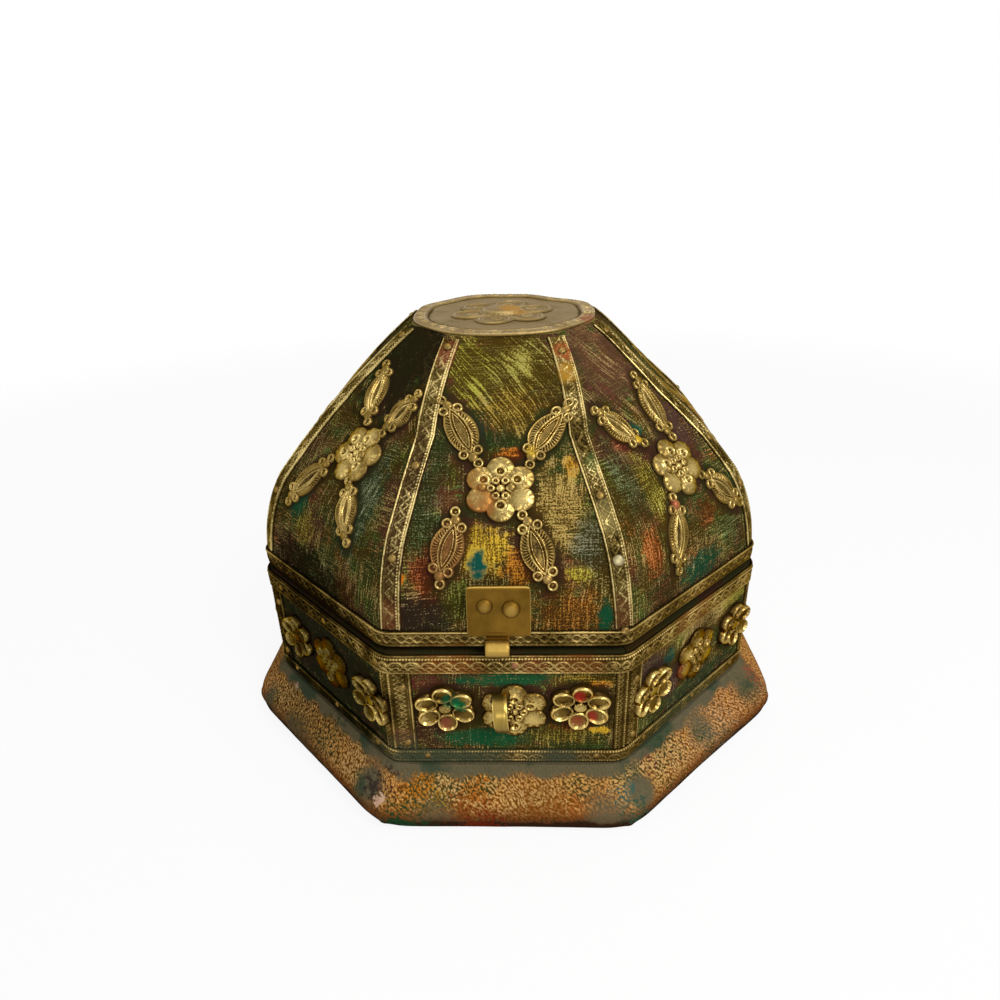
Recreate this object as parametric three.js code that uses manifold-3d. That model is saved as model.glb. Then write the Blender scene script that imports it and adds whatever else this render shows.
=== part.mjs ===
// An eight-sided domed wooden trinket box dressed in embossed brass, in millimetres, +Z up.
// The origin is the centre of the flat underside, and the front with the hasp faces -Y.
import * as THREE from "three";
import { mergeVertices } from "three/addons/utils/BufferGeometryUtils.js";
import Module from "manifold-3d";

// General
const SIDES = 8;
const CLEARANCE = 0.3;
const GLUE_LINE = 0.3;

// Plinth
const PLINTH_HEIGHT = 18;
const PLINTH_FOOT_FLAT = 91.4;
const PLINTH_NOSE_FLAT = 94.4;
const PLINTH_NOSE_HEIGHT = 6.5;
const PLINTH_LEDGE = 1.4;

// Body
const BODY_FLAT = 83.15;
const WALL_THICKNESS = 7;
const WALL_TOP = 59.1;

// Body trim
const BRASS = 0.6;
const FOOT_BAND_HEIGHT = 4.8;
const TOP_BAND_HEIGHT = 5;
const TOP_BAND_BELOW_RIM = 2.1;
const STRIP_WIDE_LEG = 7.6;
const STRIP_NARROW_LEG = 2.6;

// Lid
const LID_SKIRT_FLAT = 82.4;
const LID_SHOULDER_FLAT = 74.5;
const LID_SHOULDER_HEIGHT = 92;
const LID_TOP_FLAT = 30.2;
const LID_TOP_HEIGHT = 137;
const LID_STAVE_THICKNESS = 6.5;
const LID_BLOCK_THICKNESS = 6;
const LID_REBATE_DEPTH = 1.2;
const LID_REBATE_HEIGHT = 1.6;
const RIM_BAND_HEIGHT = 3.8;
const RIB_LEG = 3.4;

// Crown
const CROWN_RADIUS = 31.7;
const CROWN_THICKNESS = 0.9;
const CROWN_RIM_WIDTH = 4.4;
const CROWN_RIM_HEIGHT = 1.5;
const MEDALLION_RADIUS = 17.5;
const MEDALLION_HEIGHT = 1.6;

// Mounts
const LID_FLOWER_RADIUS = 9.4;
const WALL_FLOWER_RADIUS = 9.4;
const WALL_FLOWER_HEIGHT = 38;
const WALL_FLOWER_SHIFT = 2.4;
const FLOWER_HEIGHT = 1.9;
const PETALS = 6;
const LEAF_LENGTH = 13;
const LEAF_WIDTH = 7.6;
const LEAF_HEIGHT = 1.3;
const RING_RADIUS = 1.7;
const RING_HEIGHT = 0.9;

// Hasp plate and its knuckle
const HASP_WIDTH = 17.6;
const HASP_HEIGHT = 15;
const HASP_SHIFT = -1.1;
const HASP_SHEET = 1;
const KNUCKLE_WIDTH = 7.2;
const KNUCKLE_RADIUS = 2.3;
const KNUCKLE_BORE = 1.2;

// Staple
const STAPLE_WIDTH = 4.4;
const STAPLE_SHEET = 0.9;
const STAPLE_HEIGHT = 14.4;
const STAPLE_STANDOFF = 6.8;
const STAPLE_ROOM = 1.5;
const STAPLE_TENON = 4;
const STAPLE_SHIFT = -1.2;
const STAPLE_LEVEL = 38.4;

// Back hinge
const HINGE_WIDTH = 36;
const HINGE_LEAF = 1;
const HINGE_LEAF_HEIGHT = 12;
const HINGE_KNUCKLE_RADIUS = 2;
const HINGE_BORE = 1.1;
const HINGE_PIN_RADIUS = 1;
const HINGE_PIN_HEAD = 1.6;

// Derived levels and distances
const TURN = (2 * Math.PI) / SIDES;
const MITRE = Math.tan(TURN / 2);
const CORNER = 1 / Math.cos(TURN / 2);
const LID_BOTTOM = WALL_TOP + CLEARANCE;
const RIM_BAND_BOTTOM = LID_BOTTOM + LID_REBATE_HEIGHT;
const RIM_BAND_TOP = RIM_BAND_BOTTOM + RIM_BAND_HEIGHT;
const FOOT_BAND_TOP = PLINTH_HEIGHT + CLEARANCE + FOOT_BAND_HEIGHT;
const TOP_BAND_TOP = WALL_TOP - TOP_BAND_BELOW_RIM;
const TOP_BAND_BOTTOM = TOP_BAND_TOP - TOP_BAND_HEIGHT;
const BLOCK_BOTTOM = LID_TOP_HEIGHT - LID_BLOCK_THICKNESS;
const BAND_FACE = BODY_FLAT + CLEARANCE + BRASS;

const wasm = await Module();
wasm.setup();

// A closed three.js geometry as a manifold-3d solid
function solidFrom(geometry) {
  const bare = geometry.clone();
  bare.deleteAttribute("normal");
  bare.deleteAttribute("uv");
  const merged = mergeVertices(bare, 1e-4);
  return new wasm.Manifold(
    new wasm.Mesh({
      numProp: 3,
      vertProperties: merged.attributes.position.array,
      triVerts: new Uint32Array(merged.index.array),
    }),
  );
}

// A manifold-3d solid as a three.js geometry
function geometryFrom(solid) {
  const mesh = solid.getMesh();
  const geometry = new THREE.BufferGeometry();
  const positions = new Float32Array(mesh.vertProperties);
  geometry.setAttribute("position", new THREE.BufferAttribute(positions, 3));
  geometry.setIndex(new THREE.BufferAttribute(new Uint32Array(mesh.triVerts), 1));
  return geometry;
}

function join(geometries) {
  const solids = geometries.map(solidFrom);
  return geometryFrom(solids.reduce((all, next) => all.add(next)));
}

function cut(geometry, tools) {
  let solid = solidFrom(geometry);
  for (const tool of tools) {
    solid = solid.subtract(solidFrom(tool));
  }
  return geometryFrom(solid);
}

// A closed surface from rows of points, each row a closed loop of the same length, with both ends capped
function loft(rows) {
  const count = rows[0].length;
  const positions = rows.flat(2);
  const index = [];
  for (let row = 0; row + 1 < rows.length; row++) {
    for (let i = 0; i < count; i++) {
      const a = row * count + i;
      const b = row * count + ((i + 1) % count);
      index.push(a, b, b + count, a, b + count, a + count);
    }
  }
  const last = (rows.length - 1) * count;
  for (let i = 1; i + 1 < count; i++) {
    index.push(0, i + 1, i);
    index.push(last, last + i, last + i + 1);
  }
  const geometry = new THREE.BufferGeometry();
  geometry.setAttribute("position", new THREE.Float32BufferAttribute(positions, 3));
  geometry.setIndex(index);
  return geometry;
}

// A profile of [distance of the flat, height] points turned into an eight-sided ring or block
function eightSided(profile) {
  const points = profile.map(([flat, height]) => new THREE.Vector2(flat * CORNER, height));
  const geometry = new THREE.LatheGeometry(points, SIDES, TURN / 2);
  return geometry.rotateX(Math.PI / 2);
}

// A round profile of [radius, height] points turned about the vertical axis
function turned(profile, segments) {
  const points = profile.map(([radius, height]) => new THREE.Vector2(radius, height));
  return new THREE.LatheGeometry(points, segments).rotateX(Math.PI / 2);
}

// A prism across X from a closed outline of [distance towards the front, height] points
function acrossFront(outline, from, to) {
  const shape = new THREE.Shape(outline.map(([out, height]) => new THREE.Vector2(out, height)));
  const geometry = new THREE.ExtrudeGeometry(shape, { depth: to - from, bevelEnabled: false });
  const place = new THREE.Matrix4().set(0, 0, 1, from, -1, 0, 0, 0, 0, 1, 0, 0, 0, 0, 0, 1);
  return facingOut(geometry.applyMatrix4(place));
}

// The same geometry with its faces turned round if they point inwards
function facingOut(geometry) {
  const plain = geometry.index ? geometry.toNonIndexed() : geometry.clone();
  const p = plain.attributes.position;
  let volume = 0;
  const [a, b, c] = [new THREE.Vector3(), new THREE.Vector3(), new THREE.Vector3()];
  for (let i = 0; i < p.count; i += 3) {
    a.fromBufferAttribute(p, i);
    b.fromBufferAttribute(p, i + 1);
    c.fromBufferAttribute(p, i + 2);
    volume += a.dot(b.cross(c));
  }
  if (volume < 0) {
    const array = p.array;
    for (let i = 0; i < array.length; i += 9) {
      for (let k = 0; k < 3; k++) {
        [array[i + 3 + k], array[i + 6 + k]] = [array[i + 6 + k], array[i + 3 + k]];
      }
    }
  }
  const bare = new THREE.BufferGeometry();
  bare.setAttribute("position", p);
  return mergeVertices(bare, 1e-4);
}

// One mitred board of the octagon, from a closed profile of [distance of the flat, height] points
function mitredBoard(profile) {
  const half = (flat) => flat * MITRE - (GLUE_LINE / 2) * CORNER;
  const left = profile.map(([flat, height]) => [-half(flat), -flat, height]);
  const right = profile.map(([flat, height]) => [half(flat), -flat, height]);
  const count = profile.length;
  const index = [];
  for (let i = 0; i < count; i++) {
    const next = (i + 1) % count;
    index.push(i, next, next + count, i, next + count, i + count);
  }
  const outline = profile.map(([flat, height]) => new THREE.Vector2(flat, height));
  for (const [a, b, c] of THREE.ShapeUtils.triangulateShape(outline, [])) {
    index.push(a, c, b);
    index.push(a + count, b + count, c + count);
  }
  const geometry = new THREE.BufferGeometry();
  geometry.setAttribute("position", new THREE.Float32BufferAttribute([left, right].flat(2), 3));
  geometry.setIndex(index);
  return facingOut(geometry);
}

// The outer curve of the lid on the flat of a side: an upright skirt, a round shoulder, a long slope
const skirt = new THREE.QuadraticBezierCurve(
  new THREE.Vector2(LID_SKIRT_FLAT, RIM_BAND_BOTTOM),
  new THREE.Vector2(LID_SKIRT_FLAT - 0.6, LID_SHOULDER_HEIGHT - 12),
  new THREE.Vector2(LID_SHOULDER_FLAT, LID_SHOULDER_HEIGHT),
);
const slope = new THREE.QuadraticBezierCurve(
  new THREE.Vector2(LID_SHOULDER_FLAT, LID_SHOULDER_HEIGHT),
  new THREE.Vector2(
    (LID_SHOULDER_FLAT + LID_TOP_FLAT) / 2 + 3.6,
    (LID_SHOULDER_HEIGHT + LID_TOP_HEIGHT) / 2 + 3.9,
  ),
  new THREE.Vector2(LID_TOP_FLAT, LID_TOP_HEIGHT),
);
const SKIRT_STEPS = 7;
const SLOPE_STEPS = 7;
const lidCurve = [...skirt.getPoints(SKIRT_STEPS), ...slope.getPoints(SLOPE_STEPS).slice(1)];

// The outward direction of the lid curve at each of its points
const lidNormals = lidCurve.map((_, i) => {
  const before = lidCurve[Math.max(i - 1, 0)];
  const after = lidCurve[Math.min(i + 1, lidCurve.length - 1)];
  const along = after.clone().sub(before).normalize();
  return new THREE.Vector2(along.y, -along.x);
});

const lidLengths = lidCurve.map((_, i) => {
  let length = 0;
  for (let k = 1; k <= i; k++) {
    length += lidCurve[k].distanceTo(lidCurve[k - 1]);
  }
  return length;
});

// The lid curve at a length along it, or where it passes a height, as a point and a direction
function onLid(measure, wanted) {
  let i = 1;
  while (i + 1 < lidCurve.length && measure[i] < wanted) {
    i++;
  }
  const share = (wanted - measure[i - 1]) / (measure[i] - measure[i - 1]);
  const point = lidCurve[i - 1].clone().lerp(lidCurve[i], share);
  const normal = lidNormals[i - 1].clone().lerp(lidNormals[i], share).normalize();
  return { point, normal };
}

const lidHeights = lidCurve.map((point) => point.y);

// The part of the lid curve between two heights
function lidBetween(low, high) {
  const inside = lidCurve.flatMap((point, i) =>
    point.y > low + 0.5 && point.y < high - 0.5 ? [{ point, normal: lidNormals[i] }] : [],
  );
  return [onLid(lidHeights, low), ...inside, onLid(lidHeights, high)];
}

// Where a mount's own points [across, up, out] lie on the front lid panel and on the front wall
function layOnLid([across, up, out]) {
  const { point, normal } = onLid(lidLengths, up);
  return [across, -(point.x + normal.x * out), point.y + normal.y * out];
}

function layOnWall([across, up, out]) {
  return [across, -(BODY_FLAT + out), up];
}

// A stamped flower: a round sheet whose petals rise as domes round a raised centre
function stampedFlower(radius, lay, across, up) {
  const STEPS = PETALS * 3;
  const bare = [];
  const rings = [0.36, 0.66, 0.9, 1];
  const ring = (share, lift) => {
    const row = [];
    for (let i = 0; i < STEPS; i++) {
      const angle = (2 * Math.PI * i) / STEPS;
      const petal = Math.abs(Math.cos((PETALS * angle) / 2));
      const reach = radius * share * (share < 0.2 ? 1 : 0.86 + 0.14 * petal);
      row.push([across + reach * Math.sin(angle), up + reach * Math.cos(angle), lift(petal)]);
    }
    return row;
  };
  const rim = CLEARANCE + BRASS;
  const rise = [0.5, 1, 0.62, 0.12].map((lift) => lift * (FLOWER_HEIGHT - BRASS));
  bare.push(ring(0.14, () => CLEARANCE), ring(1, () => CLEARANCE));
  for (let k = rings.length - 1; k >= 0; k--) {
    bare.push(ring(rings[k], (petal) => rim + rise[k] * (0.3 + 0.7 * petal)));
  }
  bare.push(ring(0.14, () => rim + FLOWER_HEIGHT - BRASS));
  return facingOut(loft(bare.map((row) => row.map(lay))));
}

// A pointed-oval leaf with a ridge along it, lying at an angle on its panel
function leaf(lay, across, up, angle, length, width, height) {
  const STEPS = 4;
  const rows = [];
  for (let i = 0; i <= STEPS; i++) {
    const u = -1 + (2 * i) / STEPS;
    const half = (width / 2) * Math.max(1 - u * u, 0.16);
    const along = (u * length) / 2;
    const place = (side, out) => [
      across + along * Math.sin(angle) + side * Math.cos(angle),
      up + along * Math.cos(angle) - side * Math.sin(angle),
      out,
    ];
    const low = CLEARANCE;
    rows.push([
      place(-half, low),
      place(-half, low + BRASS),
      place(0, low + height * (1 - 0.4 * u * u)),
      place(half, low + BRASS),
      place(half, low),
    ]);
  }
  return facingOut(loft(rows.map((row) => row.map(lay))));
}

// The spray of rings at the end of a leaf
function ringStud(lay, across, up, radius) {
  const STEPS = 6;
  const circle = (share, out) =>
    Array.from({ length: STEPS }, (_, i) => {
      const angle = (2 * Math.PI * i) / STEPS;
      return [across + share * radius * Math.sin(angle), up + share * radius * Math.cos(angle), out];
    });
  const top = CLEARANCE + RING_HEIGHT;
  const rows = [circle(1, CLEARANCE), circle(0.8, top)];
  return facingOut(loft(rows.map((row) => row.map(lay))));
}

// A strip folded over a corner of the octagon, following samples of point and normal on the flats
function foldedStrip(samples, leftLeg, rightLeg) {
  const corner = TURN / 2;
  const rows = samples.map(({ point, normal }) => {
    const row = [];
    const onSide = (side, leg, out) => {
      const flat = point.x + normal.x * out;
      const height = point.y + normal.y * out;
      const across = side * (flat * MITRE - leg);
      const turn = corner - side * corner;
      return [
        across * Math.cos(turn) + flat * Math.sin(turn),
        across * Math.sin(turn) - flat * Math.cos(turn),
        height,
      ];
    };
    const inner = CLEARANCE;
    const outer = CLEARANCE + BRASS;
    row.push(onSide(1, 0, inner), onSide(-1, rightLeg, inner), onSide(-1, rightLeg, outer));
    row.push(onSide(1, 0, outer), onSide(1, leftLeg, outer), onSide(1, leftLeg, inner));
    return row;
  });
  return facingOut(loft(rows));
}

// Pieces

function plinth() {
  const ledge = BODY_FLAT + PLINTH_LEDGE;
  const fall = PLINTH_NOSE_FLAT - ledge;
  const rise = PLINTH_HEIGHT - PLINTH_NOSE_HEIGHT;
  return facingOut(
    eightSided([
      [0, 0],
      [PLINTH_FOOT_FLAT, 0],
      [(PLINTH_FOOT_FLAT + PLINTH_NOSE_FLAT) / 2, 0.14 * PLINTH_NOSE_HEIGHT],
      [PLINTH_NOSE_FLAT - 0.3, 0.55 * PLINTH_NOSE_HEIGHT],
      [PLINTH_NOSE_FLAT, PLINTH_NOSE_HEIGHT],
      [PLINTH_NOSE_FLAT - 0.12 * fall, PLINTH_NOSE_HEIGHT + 0.18 * rise],
      [PLINTH_NOSE_FLAT - 0.36 * fall, PLINTH_NOSE_HEIGHT + 0.4 * rise],
      [PLINTH_NOSE_FLAT - 0.66 * fall, PLINTH_NOSE_HEIGHT + 0.66 * rise],
      [ledge, PLINTH_HEIGHT],
      [0, PLINTH_HEIGHT],
    ]),
  );
}

function wall() {
  const inside = BODY_FLAT - WALL_THICKNESS;
  return mitredBoard([
    [inside, PLINTH_HEIGHT],
    [BODY_FLAT, PLINTH_HEIGHT],
    [BODY_FLAT, WALL_TOP],
    [inside, WALL_TOP],
  ]);
}

// A flat brass band round the octagon between two heights
function band(face, low, high) {
  return facingOut(
    eightSided([
      [face, low],
      [face + BRASS, low],
      [face + BRASS, high],
      [face, high],
      [face, low],
    ]),
  );
}

function cornerStrip() {
  const normal = new THREE.Vector2(1, 0);
  const levels = [FOOT_BAND_TOP + CLEARANCE, TOP_BAND_BOTTOM - CLEARANCE];
  const samples = levels.map((height) => ({ point: new THREE.Vector2(BODY_FLAT, height), normal }));
  return foldedStrip(samples, STRIP_NARROW_LEG, STRIP_WIDE_LEG);
}

function lidStave() {
  const outside = lidBetween(RIM_BAND_BOTTOM, BLOCK_BOTTOM);
  const skirtFlat = outside[0].point.x;
  const inside = outside.map(({ point, normal }) => [
    point.x - normal.x * LID_STAVE_THICKNESS,
    point.y - normal.y * LID_STAVE_THICKNESS,
  ]);
  const last = inside.length - 1;
  const before = inside[last - 1];
  const share = (BLOCK_BOTTOM - before[1]) / (inside[last][1] - before[1]);
  inside[last] = [before[0] + share * (inside[last][0] - before[0]), BLOCK_BOTTOM];
  inside[0] = [skirtFlat - LID_STAVE_THICKNESS, LID_BOTTOM];
  return mitredBoard([
    [skirtFlat - LID_REBATE_DEPTH, LID_BOTTOM],
    [skirtFlat - LID_REBATE_DEPTH, RIM_BAND_BOTTOM],
    ...outside.map(({ point }) => [point.x, point.y]),
    ...inside.reverse(),
  ]);
}

function lidBlock() {
  const edge = lidBetween(BLOCK_BOTTOM, LID_TOP_HEIGHT);
  return facingOut(
    eightSided([[0, BLOCK_BOTTOM], ...edge.map(({ point }) => [point.x, point.y]), [0, LID_TOP_HEIGHT]]),
  );
}

function lidRib() {
  return foldedStrip(
    lidBetween(RIM_BAND_TOP + CLEARANCE, LID_TOP_HEIGHT - CLEARANCE - BRASS),
    RIB_LEG,
    RIB_LEG,
  );
}

function crownPlate() {
  const low = LID_TOP_HEIGHT;
  const sheet = low + CROWN_THICKNESS;
  const rim = low + CROWN_RIM_HEIGHT;
  const inner = CROWN_RADIUS - CROWN_RIM_WIDTH;
  return facingOut(
    turned(
      [
        [0, low],
        [CROWN_RADIUS, low],
        [CROWN_RADIUS, sheet],
        [CROWN_RADIUS - 0.8, rim],
        [inner + 0.6, rim],
        [inner, sheet],
        [0, sheet],
      ],
      40,
    ),
  );
}

function medallion() {
  const STEPS = PETALS * 4;
  const low = LID_TOP_HEIGHT + CROWN_THICKNESS;
  const ring = (share, out) =>
    Array.from({ length: STEPS }, (_, i) => {
      const angle = (2 * Math.PI * i) / STEPS;
      const petal = Math.abs(Math.cos((PETALS * angle) / 2));
      const reach = MEDALLION_RADIUS * share * (share > 0.5 ? 0.84 + 0.16 * petal : 1);
      return [reach * Math.sin(angle), reach * Math.cos(angle), low + out * (share > 0.5 ? 0.4 + 0.6 * petal : 1)];
    });
  const top = MEDALLION_HEIGHT;
  const rows = [ring(0.3, 0), ring(1, 0), ring(0.96, 0.5 * top), ring(0.78, top), ring(0.56, 0.7 * top)];
  rows.push(ring(0.4, 0.45 * top), ring(0.34, 0.9 * top), ring(0.28, top));
  return facingOut(loft(rows));
}

// The four leaves round each lid flower: [across, up] of the two ends of each, up along the panel
const LID_SPRAYS = {
  front: {
    flower: [-0.2, 44.8],
    leaves: [
      [-13.9, 69.8, -8.2, 54.6],
      [16.4, 67.6, 8.6, 54.6],
      [-17, 21.8, -12.6, 35.6],
      [12, 20.6, 7.4, 35],
    ],
  },
  right: {
    flower: [4.6, 41],
    leaves: [
      [-14, 64.6, -5.4, 53.2],
      [11.6, 69.6, 9.4, 52.6],
      [-9, 15.6, -4, 30.6],
      [25, 23.4, 15.6, 34],
    ],
  },
  left: {
    flower: [2.6, 49],
    leaves: [
      [-7.6, 77, -2.6, 61.6],
      [14.4, 70.4, 8.8, 60.4],
      [-19.6, 28.8, -9.4, 41.6],
      [12.4, 26.4, 6.8, 38.4],
    ],
  },
  plain: {
    flower: [0, 45],
    leaves: [
      [-14.4, 68, -7.6, 54.4],
      [14.4, 68, 7.6, 54.4],
      [-15.4, 21, -9, 35],
      [15.4, 21, 9, 35],
    ],
  },
};

// One lid mount: the flower with its four leaves and the rings at their ends
function lidMount({ flower: [across, up], leaves }) {
  const pieces = [stampedFlower(LID_FLOWER_RADIUS, layOnLid, across, up)];
  for (const [farAcross, farUp, nearAcross, nearUp] of leaves) {
    const angle = Math.atan2(farAcross - nearAcross, farUp - nearUp);
    const midAcross = (farAcross + nearAcross) / 2;
    const midUp = (farUp + nearUp) / 2;
    const end = LEAF_LENGTH / 2 + RING_RADIUS - 1;
    const [sin, cos] = [Math.sin(angle), Math.cos(angle)];
    pieces.push(leaf(layOnLid, midAcross, midUp, angle, LEAF_LENGTH, LEAF_WIDTH, LEAF_HEIGHT));
    pieces.push(ringStud(layOnLid, midAcross + end * sin, midUp + end * cos, RING_RADIUS));
    pieces.push(ringStud(layOnLid, midAcross - end * sin, midUp - end * cos, RING_RADIUS));
    const [tieAcross, tieUp] = [midAcross - end * sin - across, midUp - end * cos - up];
    const reach = Math.hypot(tieAcross, tieUp);
    const mid = (reach + 0.6 * LID_FLOWER_RADIUS) / 2 / reach;
    pieces.push(
      leaf(
        layOnLid,
        across + mid * tieAcross,
        up + mid * tieUp,
        Math.atan2(tieAcross, tieUp),
        reach - 0.6 * LID_FLOWER_RADIUS + 1,
        RING_RADIUS * 1.6,
        BRASS + 0.1,
      ),
    );
  }
  return facingOut(join(pieces));
}

// The two legs of the staple, grown by a clearance, as cutting tools
function stapleLegs(grow) {
  const reach = STAPLE_HEIGHT / 2;
  return [1, -1].map((side) => {
    const high = STAPLE_LEVEL + side * reach;
    const low = high - side * STAPLE_SHEET;
    const [bottom, top] = [Math.min(high, low) - grow, Math.max(high, low) + grow];
    return acrossFront(
      [
        [BODY_FLAT - STAPLE_TENON - grow, bottom],
        [BODY_FLAT + FLOWER_HEIGHT + 3, bottom],
        [BODY_FLAT + FLOWER_HEIGHT + 3, top],
        [BODY_FLAT - STAPLE_TENON - grow, top],
      ],
      STAPLE_SHIFT - STAPLE_WIDTH / 2 - grow,
      STAPLE_SHIFT + STAPLE_WIDTH / 2 + grow,
    );
  });
}

// The room inside the staple, where the flower behind it lies flat
function stapleRoom() {
  const reach = STAPLE_HEIGHT / 2 - STAPLE_SHEET;
  const side = STAPLE_WIDTH / 2 + STAPLE_ROOM;
  const [near, far] = [BODY_FLAT + CLEARANCE + BRASS, BODY_FLAT + STAPLE_STANDOFF];
  const [low, high] = [STAPLE_LEVEL - reach, STAPLE_LEVEL + reach];
  const outline = [
    [near, low],
    [far, low],
    [far, high],
    [near, high],
  ];
  return acrossFront(outline, STAPLE_SHIFT - side, STAPLE_SHIFT + side);
}

// A flat strap bent into a loop, with both ends let into the front wall
function staple() {
  const ARC_STEPS = 12;
  const root = BODY_FLAT - STAPLE_TENON;
  const knee = BODY_FLAT + 1.2;
  const arc = (inset) =>
    Array.from({ length: ARC_STEPS + 1 }, (_, i) => {
      const angle = (Math.PI * i) / ARC_STEPS;
      return [
        knee + (STAPLE_STANDOFF - 1.2 - inset) * Math.sin(angle),
        STAPLE_LEVEL + (STAPLE_HEIGHT / 2 - inset) * Math.cos(angle),
      ];
    });
  const outer = arc(0);
  const inner = arc(STAPLE_SHEET).reverse();
  return acrossFront(
    [
      [root, outer[0][1]],
      ...outer,
      [root, outer[ARC_STEPS][1]],
      [root, inner[0][1]],
      ...inner,
      [root, inner[ARC_STEPS][1]],
    ],
    STAPLE_SHIFT - STAPLE_WIDTH / 2,
    STAPLE_SHIFT + STAPLE_WIDTH / 2,
  );
}

function ring(centreOut, centreUp, radius, from, to) {
  const STEPS = 20;
  const circle = Array.from({ length: STEPS }, (_, i) => {
    const angle = (2 * Math.PI * i) / STEPS;
    return [centreOut + radius * Math.cos(angle), centreUp + radius * Math.sin(angle)];
  });
  return acrossFront(circle, from, to);
}

// The plate nailed to the lid, with the rolled knuckle that carried the swinging hasp
function haspPlate() {
  const low = RIM_BAND_TOP + CLEARANCE;
  const high = low + HASP_HEIGHT;
  const foot = onLid(lidHeights, low).point.x + 2 * CLEARANCE + BRASS;
  const head = onLid(lidHeights, high).point.x + 2 * CLEARANCE + 0.2;
  const half = HASP_WIDTH / 2;
  const plate = acrossFront(
    [
      [foot, low],
      [foot + HASP_SHEET, low],
      [head + HASP_SHEET, high],
      [head, high],
    ],
    HASP_SHIFT - half,
    HASP_SHIFT + half,
  );
  const centreOut = LID_SKIRT_FLAT + 2 * CLEARANCE + BRASS + KNUCKLE_RADIUS;
  const centreUp = RIM_BAND_TOP - KNUCKLE_RADIUS - 0.2;
  const side = KNUCKLE_WIDTH / 2;
  const centre = HASP_SHIFT - 0.8;
  const tab = acrossFront(
    [
      [centreOut - KNUCKLE_RADIUS, centreUp],
      [centreOut - KNUCKLE_RADIUS + HASP_SHEET, centreUp],
      [foot + HASP_SHEET, low + 1],
      [foot, low + 1],
    ],
    centre - side,
    centre + side,
  );
  const knuckle = ring(centreOut, centreUp, KNUCKLE_RADIUS, centre - side, centre + side);
  const bore = ring(centreOut, centreUp, KNUCKLE_BORE, centre - side - 1, centre + side + 1);
  return facingOut(cut(join([plate, tab, knuckle]), [bore]));
}

// The hinge is drawn towards the front and turned to the back with its group
const HINGE_OUT = BAND_FACE + CLEARANCE + HINGE_LEAF + 1.6;
const HINGE_UP = WALL_TOP + CLEARANCE / 2;
const KNUCKLE_THIRD = HINGE_WIDTH / 3;

function hingeLeaf(outline, spans) {
  const half = HINGE_WIDTH / 2;
  const plate = acrossFront(outline, -half, half);
  const relief = HINGE_KNUCKLE_RADIUS + CLEARANCE;
  const pieces = [];
  const holes = [ring(HINGE_OUT, HINGE_UP, HINGE_BORE, -half - 1, half + 1)];
  for (const [index, [from, to]] of spans.entries()) {
    pieces.push(ring(HINGE_OUT, HINGE_UP, HINGE_KNUCKLE_RADIUS, from, to));
    if (index === 0 && spans.length === 2) {
      const [left, right] = [to, spans[1][0]];
      holes.push(ring(HINGE_OUT, HINGE_UP, relief, left, right));
    }
  }
  return { plate, pieces, holes, relief };
}

function hingeBodyLeaf() {
  const inside = BAND_FACE + CLEARANCE;
  const third = KNUCKLE_THIRD / 2;
  const half = HINGE_WIDTH / 2;
  const gap = CLEARANCE / 2;
  const top = HINGE_UP - 0.2;
  const { plate, pieces, holes } = hingeLeaf(
    [
      [inside, top - HINGE_LEAF_HEIGHT],
      [inside + HINGE_LEAF, top - HINGE_LEAF_HEIGHT],
      [inside + HINGE_LEAF, top - 2],
      [HINGE_OUT, top - 1],
      [HINGE_OUT, top],
      [inside, top],
    ],
    [
      [-half, -third - gap],
      [third + gap, half],
    ],
  );
  return facingOut(cut(join([plate, ...pieces]), holes));
}

function hingeLidLeaf() {
  const inside = LID_SKIRT_FLAT + 2 * CLEARANCE + BRASS;
  const third = KNUCKLE_THIRD / 2;
  const half = HINGE_WIDTH / 2;
  const gap = CLEARANCE / 2;
  const low = HINGE_UP + 0.2;
  const { plate, pieces, holes, relief } = hingeLeaf(
    [
      [inside, low],
      [HINGE_OUT, low],
      [HINGE_OUT, low + 1],
      [inside + HINGE_LEAF, low + 2],
      [inside + HINGE_LEAF, low + HINGE_LEAF_HEIGHT],
      [inside, low + HINGE_LEAF_HEIGHT],
    ],
    [[-third + gap, third - gap]],
  );
  const sides = [
    ring(HINGE_OUT, HINGE_UP, relief, -half - 1, -third + gap),
    ring(HINGE_OUT, HINGE_UP, relief, third - gap, half + 1),
  ];
  return facingOut(cut(join([cut(plate, sides), ...pieces]), holes));
}

function hingePin() {
  const half = HINGE_WIDTH / 2;
  const end = half + CLEARANCE;
  return facingOut(
    join([
      ring(HINGE_OUT, HINGE_UP, HINGE_PIN_RADIUS, -end, end),
      ring(HINGE_OUT, HINGE_UP, HINGE_PIN_HEAD, -end - 0.8, -end),
      ring(HINGE_OUT, HINGE_UP, HINGE_PIN_HEAD, end, end + 0.8),
    ]),
  );
}

// Materials, each made new so that every mesh has its own
const paintedWood = () => new THREE.MeshStandardMaterial({ color: 0x4a4326, roughness: 0.55, metalness: 0 });
const plinthPaint = () => new THREE.MeshStandardMaterial({ color: 0x6b4f24, roughness: 0.6, metalness: 0 });
const agedBrass = () => new THREE.MeshStandardMaterial({ color: 0x8a7336, roughness: 0.4, metalness: 1 });
const dullBrass = () => new THREE.MeshStandardMaterial({ color: 0x75674a, roughness: 0.5, metalness: 1 });
const plainBrass = () => new THREE.MeshStandardMaterial({ color: 0xa98a3f, roughness: 0.3, metalness: 1 });

function piece(name, geometry, material) {
  const mesh = new THREE.Mesh(geometry, material);
  mesh.name = name;
  return mesh;
}

// The box
const box = new THREE.Group();
const body = new THREE.Group();
const lid = new THREE.Group();
box.add(body, lid);

const SIDE_NAMES = [
  "front",
  "front_right",
  "right",
  "back_right",
  "back",
  "back_left",
  "left",
  "front_left",
];

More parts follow.
